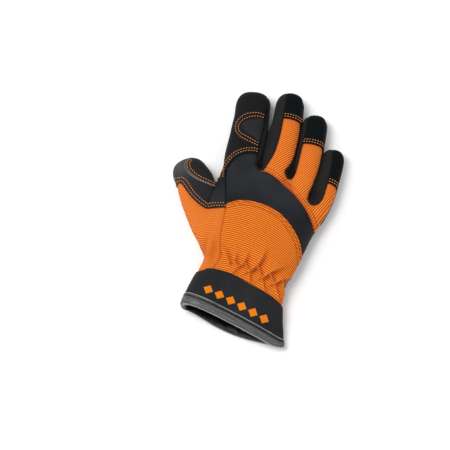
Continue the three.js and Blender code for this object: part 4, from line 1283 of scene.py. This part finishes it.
# %% Node group: knit ribs
knit_group, given, result = new_group(
    "Knit ribs", {"Cloth": None, "Rib": 1.35, "Loop": 1.1}, ("Height", "Rib"))
split = new_node(knit_group, "ShaderNodeSeparateXYZ", {0: given["Cloth"]})
u, v = split.outputs[0], split.outputs[1]
moved = maths(knit_group, "MULTIPLY_ADD", noise(knit_group, given["Cloth"], 0.25), 0.5, v)
across_rib = maths(knit_group, "DIVIDE", moved, given["Rib"])
rib_turn = maths(knit_group, "MULTIPLY", across_rib, math.pi)
rib_wave = maths(knit_group, "ABSOLUTE", maths(knit_group, "SINE", rib_turn))
rib_round = maths(knit_group, "POWER", rib_wave, 1.5)
half_loop = maths(knit_group, "MULTIPLY", maths(knit_group, "FLOOR", across_rib), math.pi)
along_rib = maths(knit_group, "DIVIDE", u, given["Loop"])
loop_turn = maths(knit_group, "MULTIPLY_ADD", along_rib, 2 * math.pi, half_loop)
loop_wave = maths(knit_group, "MULTIPLY_ADD", maths(knit_group, "SINE", loop_turn), 0.5, 0.5)
loop_height = maths(knit_group, "MULTIPLY_ADD", loop_wave, 0.08, 0.92)
feed(knit_group, maths(knit_group, "MULTIPLY", rib_round, loop_height), result["Height"])
feed(knit_group, rib_round, result["Rib"])
print(knit_group.name, len(knit_group.nodes), "nodes")

# %% [markdown]
# ## Leather grain, nap, and the dark along a seam
# Coated leather has small pebbles with creases between them: the distance to the edges of Voronoi cells is
# that pattern. Suede, side cloth and towelling are covered with fibres, for which fine noise is enough. A
# much slower noise makes both of them uneven, as brushed and worn cloth is. Along its seams every cloth is
# darker, because the light doesn't get into the groove, and a layer of the mesh says how far the seam is.

# %% Node group: leather grain
grain_group, given, result = new_group(
    "Leather grain", {"Place": None, "Fineness": 900.0}, ("Height", "Shade"))
cells = new_node(grain_group, "ShaderNodeTexVoronoi", {"Vector": given["Place"], "Scale": given["Fineness"]},
                 feature="DISTANCE_TO_EDGE")
pebbles = maths(grain_group, "MINIMUM", maths(grain_group, "MULTIPLY", cells.outputs["Distance"], 4), 1)
fine = noise(grain_group, given["Place"], maths(grain_group, "MULTIPLY", given["Fineness"], 1.7), 3)
slow = noise(grain_group, given["Place"], maths(grain_group, "MULTIPLY", given["Fineness"], 0.06), 4)
feed(grain_group, maths(grain_group, "MULTIPLY_ADD", fine, 0.5, pebbles), result["Height"])
fine_part = maths(grain_group, "MULTIPLY", fine, 0.3)
feed(grain_group, maths(grain_group, "MULTIPLY_ADD", slow, 0.7, fine_part), result["Shade"])
print(grain_group.name, len(grain_group.nodes), "nodes")

# %% Node group: nap
nap_group, given, result = new_group("Nap", {"Place": None, "Fineness": 1500.0}, ("Height", "Shade"))
fibres = noise(nap_group, given["Place"], given["Fineness"], 4, 0.7)
brushed = noise(nap_group, given["Place"], maths(nap_group, "MULTIPLY", given["Fineness"], 0.05), 5)
feed(nap_group, fibres, result["Height"])
fibre_part = maths(nap_group, "MULTIPLY", fibres, 0.4)
feed(nap_group, maths(nap_group, "MULTIPLY_ADD", brushed, 0.6, fibre_part), result["Shade"])
print(nap_group.name, len(nap_group.nodes), "nodes")

# %% Node group: dark along a seam
seam_group, given, result = new_group("Seam shade", {"Distance": 5.0, "Reach": 1.2}, ("Dark",))
ratio = maths(seam_group, "DIVIDE", given["Distance"], given["Reach"])
feed(seam_group, maths(seam_group, "SUBTRACT", 1, maths(seam_group, "MINIMUM", ratio, 1)), result["Dark"])
print(seam_group.name, len(seam_group.nodes), "nodes")


# %% Helpers for finishes
def new_finish(name, rough, sheen, specular):
    """A material with its plain values set: the material, its nodes and its shader."""
    made = bpy.data.materials.new(name)
    made.use_nodes = True
    tree = made.node_tree
    shader = tree.nodes["Principled BSDF"]
    shader.inputs["Roughness"].default_value = rough
    shader.inputs["Sheen Weight"].default_value = sheen
    shader.inputs["Sheen Roughness"].default_value = 0.5
    shader.inputs["Specular IOR Level"].default_value = specular
    return made, tree, shader


def use_group(tree, group, **values):
    """Places a node group in a material and gives its outputs."""
    made = tree.nodes.new("ShaderNodeGroup")
    made.node_tree = group
    for key, value in values.items():
        feed(tree, value, made.inputs[key])
    return made.outputs


def colour_ramp(tree, factor, stops):
    ramp = new_node(tree, "ShaderNodeValToRGB", {0: factor})
    for element, (place, colour) in zip(ramp.color_ramp.elements, (stops[0], stops[-1])):
        element.position, element.color = place, srgb(colour)
    for place, colour in stops[1:-1]:
        ramp.color_ramp.elements.new(place).color = srgb(colour)
    return ramp.outputs[0]


def darken(tree, colour, amount, by, warmth=1.0):
    """Multiplies a colour down where the amount is 1. Under a warmth of 1, green and blue fall further."""
    return mixed(tree, colour, (by, by * warmth, by * warmth**2, 1), amount, "MULTIPLY")


def bump(tree, shader, height, distance):
    """Small relief from a height, whose full range is a distance in millimetres."""
    made = new_node(tree, "ShaderNodeBump", {"Strength": 1.0, "Distance": distance * MM, "Height": height})
    feed(tree, made.outputs[0], shader.inputs["Normal"])


def seam_dark(tree, reach):
    return use_group(tree, seam_group, Reach=reach, Distance=attribute(tree, "seam"))["Dark"]


def object_place(tree):
    return new_node(tree, "ShaderNodeTexCoord").outputs["Object"]


# %% Finish of the knit
PAINTED_CREST_HIGHLIGHT = "#ffb266"  # colour of the painted highlight on the knit's crests


def knit_finish(name, rib, loop, light, dark, groove):
    """Ribbed knit: lighter on its ribs, darker and redder in its grooves, with painted shade, darker and
    redder, in hollows and along seams, and a painted highlight on the crests.
    """
    made, tree, shader = new_finish(name, 0.9, sheen=0.04, specular=0.12)
    cloth = new_node(tree, "ShaderNodeUVMap", uv_map="knit").outputs[0]
    ribbed = use_group(tree, knit_group, Rib=rib, Loop=loop, Cloth=cloth)
    nap = use_group(tree, nap_group, Fineness=1200.0, Place=object_place(tree))
    colour = colour_ramp(tree, ribbed["Rib"], [(0.0, groove), (0.45, dark), (1.0, light)])
    soft = darken(tree, colour, maths(tree, "MULTIPLY", nap["Shade"], 0.35), 0.8)
    in_shade = attribute(tree, "shade")
    # painted highlight where the shade layer is under 0, on the crests, and painted shade where it is over 0
    lit = mixed(tree, soft, srgb(PAINTED_CREST_HIGHLIGHT), maths(tree, "MULTIPLY", in_shade, -0.1))
    folded = darken(tree, lit, in_shade, 0.72, 0.62)
    # painted shade along the seams
    feed(tree, darken(tree, folded, seam_dark(tree, 0.75), 0.7, 0.62), shader.inputs["Base Color"])
    bump(tree, shader, maths(tree, "MULTIPLY_ADD", nap["Height"], 0.15, ribbed["Height"]), 0.28)
    return made


# name, rib and loop in millimetres, colours of a rib's top, its side and the groove
knits = {
    "back_panel": knit_finish("Orange knit of the back", 1.47, 1.25, "#e88428", "#d0610f", "#7c2c04"),
    "thumb_gusset": knit_finish("Orange knit of the thumb", 1.4, 1.2, "#e38031", "#d46a20", "#a84f0e"),
    "finger_panel": knit_finish("Orange knit of the fingers", 1.38, 1.2, "#ea852e", "#d6651a", "#863206"),
}
print("knits:", *knits)

# %% Finishes of the dark cloths
HIGHLIGHT_GREY = "#3d3e40"  # colour of the painted highlight on the leather


def skin_finish(name, group_used, fineness, dark, light, rough, height, sheen, specular, seam_reach=1.0,
                cut_edge=None):
    """Leather, suede or close cloth. Its colour and roughness follow the grain, and its colour takes a
    painted highlight where the shade layer asks for one and painted shade along its seams.
    """
    made, tree, shader = new_finish(name, rough, sheen, specular)
    grain = use_group(tree, group_used, Fineness=fineness, Place=object_place(tree))
    colour = colour_ramp(tree, grain["Shade"], [(0.3, dark), (0.7, light)])
    # painted highlight where the mesh's shade layer is over 0
    highlighted = mixed(tree, colour, srgb(HIGHLIGHT_GREY), attribute(tree, "shade"))
    near_edge = darken(tree, highlighted, seam_dark(tree, seam_reach), 0.5)
    if cut_edge:  # the paler core of the leather shows where it is cut
        near_edge = mixed(tree, near_edge, srgb(cut_edge), seam_dark(tree, 0.9))
    feed(tree, near_edge, shader.inputs["Base Color"])
    rough_now = maths(tree, "MULTIPLY_ADD", grain["Shade"], 0.25, rough - 0.12)
    feed(tree, rough_now, shader.inputs["Roughness"])
    bump(tree, shader, grain["Height"], height)
    return made


# name, group, fineness, dark and light colour, roughness, depth of the grain in millimetres, sheen, specular,
# and where it matters how far a seam darkens it, and the colour of its cut edge
SKINS = {
    "leather": ("Black glove leather", grain_group, 900.0, "#0e0f11", "#17181a", 0.6, 0.05, 0.0, 0.2),
    "patch": ("Black leather of the thumb patch", grain_group, 900.0, "#0e0f11", "#17181a", 0.6, 0.05, 0.0,
              0.2, 1.0, "#6c6f72"),
    "index": ("Deep black leather of the index finger", grain_group, 900.0, "#090a0c", "#101113", 0.65, 0.05,
              0.0, 0.12),
    "suede": ("Black suede", nap_group, 800.0, "#0b0d10", "#282a2e", 0.85, 0.08, 0.04, 0.15),
    "cap": ("Deep black suede of the caps", nap_group, 1500.0, "#06090b", "#0c1013", 0.85, 0.08, 0.01, 0.06),
    "sidewall": ("Brown-black side cloth", nap_group, 1900.0, "#151412", "#1d1b18", 0.8, 0.06, 0.03, 0.15),
    "neoprene": ("Black foam rubber cloth", nap_group, 900.0, "#0b0c0e", "#232527", 0.75, 0.07, 0.03, 0.15),
    "lining": ("Black towelling", nap_group, 800.0, "#040405", "#0e0f11", 0.95, 0.5, 0.02, 0.1, 0.01),
}
finishes = {key: skin_finish(*row) for key, row in SKINS.items()}
print("dark finishes:", *finishes)

# %% [markdown]
# ## Binding, thread and print
# The binding is a grey coated cloth with a soft shine. It was brushed along the hem, it has a painted
# highlight on its two upper ridges, and its stitches lie in a groove of painted shade. Since it was swept
# from a profile, the number of the profile's row is all that a colour ramp needs to place these bands. The
# thread is orange, and where it dips into the knit its ends get painted shade.


# %% Thread and print
def plain_finish(name, low, high, rough, specular, scale, height, sheen=0.0):
    """A plain colour that varies a little, on fine fibres."""
    made, tree, shader = new_finish(name, rough, sheen, specular)
    fibres = use_group(tree, nap_group, Fineness=scale, Place=object_place(tree))
    feed(tree, colour_ramp(tree, fibres["Shade"], [(0.3, low), (0.7, high)]), shader.inputs["Base Color"])
    bump(tree, shader, fibres["Height"], height)
    return made


thread_finish = plain_finish("Orange thread", "#d07a36", "#f0a25a", 0.6, 0.2, 2500.0, 0.05, sheen=0.05)
grey_thread = plain_finish("Dark grey thread", "#1a1b1c", "#28292a", 0.6, 0.3, 2500.0, 0.05)
print_finish = plain_finish("Orange print", "#c86802", "#d87804", 0.6, 0.12, 900.0, 0.04)
knit_thread, tree, shader = new_finish("Orange thread on knit", 0.7, sheen=0.05, specular=0.15)
to_its_end = maths(tree, "ABSOLUTE", attribute(tree, "seam"))
# the stitch's ends, where it dips into the knit, get painted shade
thread_colours = colour_ramp(tree, to_its_end, [(0.0, "#b8520e"), (0.3, "#883807"), (0.55, "#160802")])
feed(tree, thread_colours, shader.inputs["Base Color"])
print("thread finishes made")

# %% Grey binding
# the profile's rows: upper edge with a painted highlight, groove of the stitches in painted shade, brushed
# face, fold with a painted highlight, dark inside
GREYS = [(9, "#5a5b5c"), (10.3, "#a8a9aa"), (11.4, "#4a4b4c"), (12.3, "#08090a"), (14.7, "#08090a"),
         (15.4, "#5a5a5b"), (18, "#636364"), (21, "#484949"), (22.2, "#a4a5a6"), (23.6, "#a4a5a6"),
         (24.6, "#202122"), (44, "#0a0b0c")]
FIRST_ROW, ROWS = 9, 35
LIP_ROW = 18.5  # from this row inwards the lower lip is dark: only its outer face is grey
binding_finish, tree, shader = new_finish("Grey coated binding", 0.42, sheen=0.0, specular=0.3)
upper_side, profile_row = attribute(tree, "upper"), attribute(tree, "seam")
row_reader = maths(tree, "ADD", profile_row, maths(tree, "MULTIPLY_ADD", upper_side, 2.6, -2.6))
share_of_rows = maths(tree, "DIVIDE", maths(tree, "SUBTRACT", row_reader, FIRST_ROW), ROWS)
grey = colour_ramp(tree, share_of_rows, [((row - FIRST_ROW) / ROWS, tone) for row, tone in GREYS])
around = new_node(tree, "ShaderNodeMapping", {"Scale": (0.12, 1.3, 1)})
feed(tree, new_node(tree, "ShaderNodeUVMap", uv_map="knit").outputs[0], around.inputs[0])
streaks = noise(tree, around.outputs[0], 1.0, 3.0)
brushed = colour_ramp(tree, streaks, [(0.35, "#8c8c8c"), (0.5, "#cccccc"), (0.66, "#ffffff")])
streaked = mixed(tree, grey, brushed, 1, "MULTIPLY")
lower_side = maths(tree, "MULTIPLY_ADD", upper_side, -1.0, 1.0)
lower_lip = maths(tree, "MULTIPLY", maths(tree, "GREATER_THAN", profile_row, LIP_ROW), lower_side)
feed(tree, darken(tree, streaked, lower_lip, 0.26), shader.inputs["Base Color"])
bump(tree, shader, use_group(tree, nap_group, Fineness=420.0, Place=object_place(tree))["Shade"], 0.3)
print("binding finish made")

# %% [markdown]
# ## Give every piece its finish and its body
# Each piece rides on the glove's one body, takes the place of its CAD solid, and gets its finish. The
# rectangle that each panel was cut from is worked out as well, but nothing takes it up.


# %% Cut sizes, and what every piece is given
def flat_size(piece, area):
    """The rectangle, in metres, that the panel was cut from: its spread in plan, made large enough."""
    co = np.array([v.co for v in piece.data.vertices][::7])[:, :2]  # every seventh point is enough
    _, _, axes = np.linalg.svd(co - co.mean(0), full_matrices=False)
    spread = (co - co.mean(0)) @ axes.T
    w, length = np.maximum(np.ptp(spread, axis=0), 0.011)
    grow = max(1.0, math.sqrt(area / (0.9 * w * length)))
    return float(w * grow), float(length * grow)


def settle(piece, node_name, material):
    """Gives a piece its finish, its body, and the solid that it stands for."""
    piece.data.materials.clear()
    piece.data.materials.append(material)
    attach(piece, "root")
    if node_name:
        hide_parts(node_name)


# %% Dress the glove
OWN_FINISH = {"middle_cap": "cap", "ring_cap": "cap", "little_cap": "cap", "index_back": "index"}
LEAST_AREA = 0.31  # a bent strip counts as at least this share of the rectangle that it is cut from
for name, piece in panels.items():
    slot = PANEL_SLOTS[name]
    settle(piece, name, knits.get(name) or finishes[OWN_FINISH.get(name, slot)])
    area = sheet_area[name] * MM * MM
    w, length = flat_size(piece, area)
    area = max(area, LEAST_AREA * w * length)
for name, piece in pads.items():
    settle(piece, name + "_pad", finishes["patch" if name == "thumb" else "suede"])
settle(binding, "hem_binding", binding_finish)
settle(lining, "lining", finishes["lining"])
for name, piece in sewn.items():
    settle(piece, None, knit_thread if name == "back_stitches" else thread_finish)
settle(hem_thread, None, grey_thread)
settle(cuff_print, None, print_finish)
print("dressed", round(time.time() - clock, 1), "s")

# %% [markdown]
# ## Stage, light and camera
# The photograph is a plain studio shot: a white floor, a soft light from above, a wide one from the upper
# left and a lens from far away, looking steeply down. The picture is taken as 450 by 450 points, and 0.7225
# millimetres of the glove fill one of them. A nearly parallel view keeps the panels' proportions, so the
# camera stands three metres away with a long lens.

# %% The view
AZIMUTH, ELEVATION = math.radians(20), math.radians(70)
PICTURE, SCALE = 450, 0.7225  # the picture's width in points, and a point in millimetres
ORIGIN_AT = (253, 239)  # where the glove's origin lies in the picture, across and down
right = Vector((math.cos(AZIMUTH), math.sin(AZIMUTH), 0))
back = Vector((math.sin(AZIMUTH) * math.cos(ELEVATION), -math.cos(AZIMUTH) * math.cos(ELEVATION),
               math.sin(ELEVATION)))
up = back.cross(right)
middle = PICTURE // 2
look_at = right * (middle - ORIGIN_AT[0]) * SCALE * MM + up * (ORIGIN_AT[1] - middle) * SCALE * MM
print("the camera looks at", [round(c, 4) for c in look_at])

# %% Floor
bpy.ops.object.select_all(action="DESELECT")
bpy.ops.mesh.primitive_plane_add(size=6, location=(0, 0, -0.0003))
floor = bpy.context.object
floor.name = "floor"
paper, tree, shader = new_finish("White paper", 0.9, sheen=0.0, specular=0.1)
shader.inputs["Base Color"].default_value = (0.94, 0.94, 0.94, 1)
floor.data.materials.append(paper)

# %% Light
world = bpy.data.worlds.new("Studio")
world.use_nodes = True
world.node_tree.nodes["Background"].inputs[0].default_value = (1, 1, 1, 1)
world.node_tree.nodes["Background"].inputs[1].default_value = 0.6
bpy.context.scene.world = world


def area_light(name, toward, distance, size, energy):
    """A round soft light that stands in a direction from the glove and shines at it."""
    data = bpy.data.lights.new(name, "AREA")
    data.shape, data.size, data.energy = "DISK", size, energy
    lamp = bpy.data.objects.new(name, data)
    bpy.context.collection.objects.link(lamp)
    lamp.location = toward.normalized() * distance
    lamp.rotation_euler = toward.to_track_quat("Z", "Y").to_euler()


area_light("Key", -right * 0.32 + up * 0.3 + back * 1.0, 1.6, 0.7, 13)
area_light("Side", -right * 1.0 + up * 0.55 + back * 0.75, 1.6, 1.1, 8)
area_light("Fill", right * 0.7 - up * 0.1 + back * 0.8, 2.0, 1.8, 8)

# %% Camera
FILM, DISTANCE = 36, 3.0  # the film's width in millimetres, and the camera's distance in metres
camera_data = bpy.data.cameras.new("Camera")
camera_data.sensor_width = FILM
camera_data.lens = FILM * DISTANCE / (PICTURE * SCALE * MM)
camera_data.clip_end = 20
camera = bpy.data.objects.new("Camera", camera_data)
bpy.context.collection.objects.link(camera)
place = look_at + back * DISTANCE
camera.matrix_world = Matrix(((right.x, up.x, back.x, place.x), (right.y, up.y, back.y, place.y),
                              (right.z, up.z, back.z, place.z), (0, 0, 0, 1)))
bpy.context.scene.camera = camera
bpy.context.scene.view_settings.view_transform = "Standard"

# %% Measure and finish
total = sum(len(p.vertices) - 2 for o in bpy.context.scene.objects if o.type == "MESH" and o.name != "floor"
            and "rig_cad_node" not in o for p in o.data.polygons)
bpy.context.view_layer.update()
print("triangles:", total, "seconds:", round(time.time() - clock, 1))
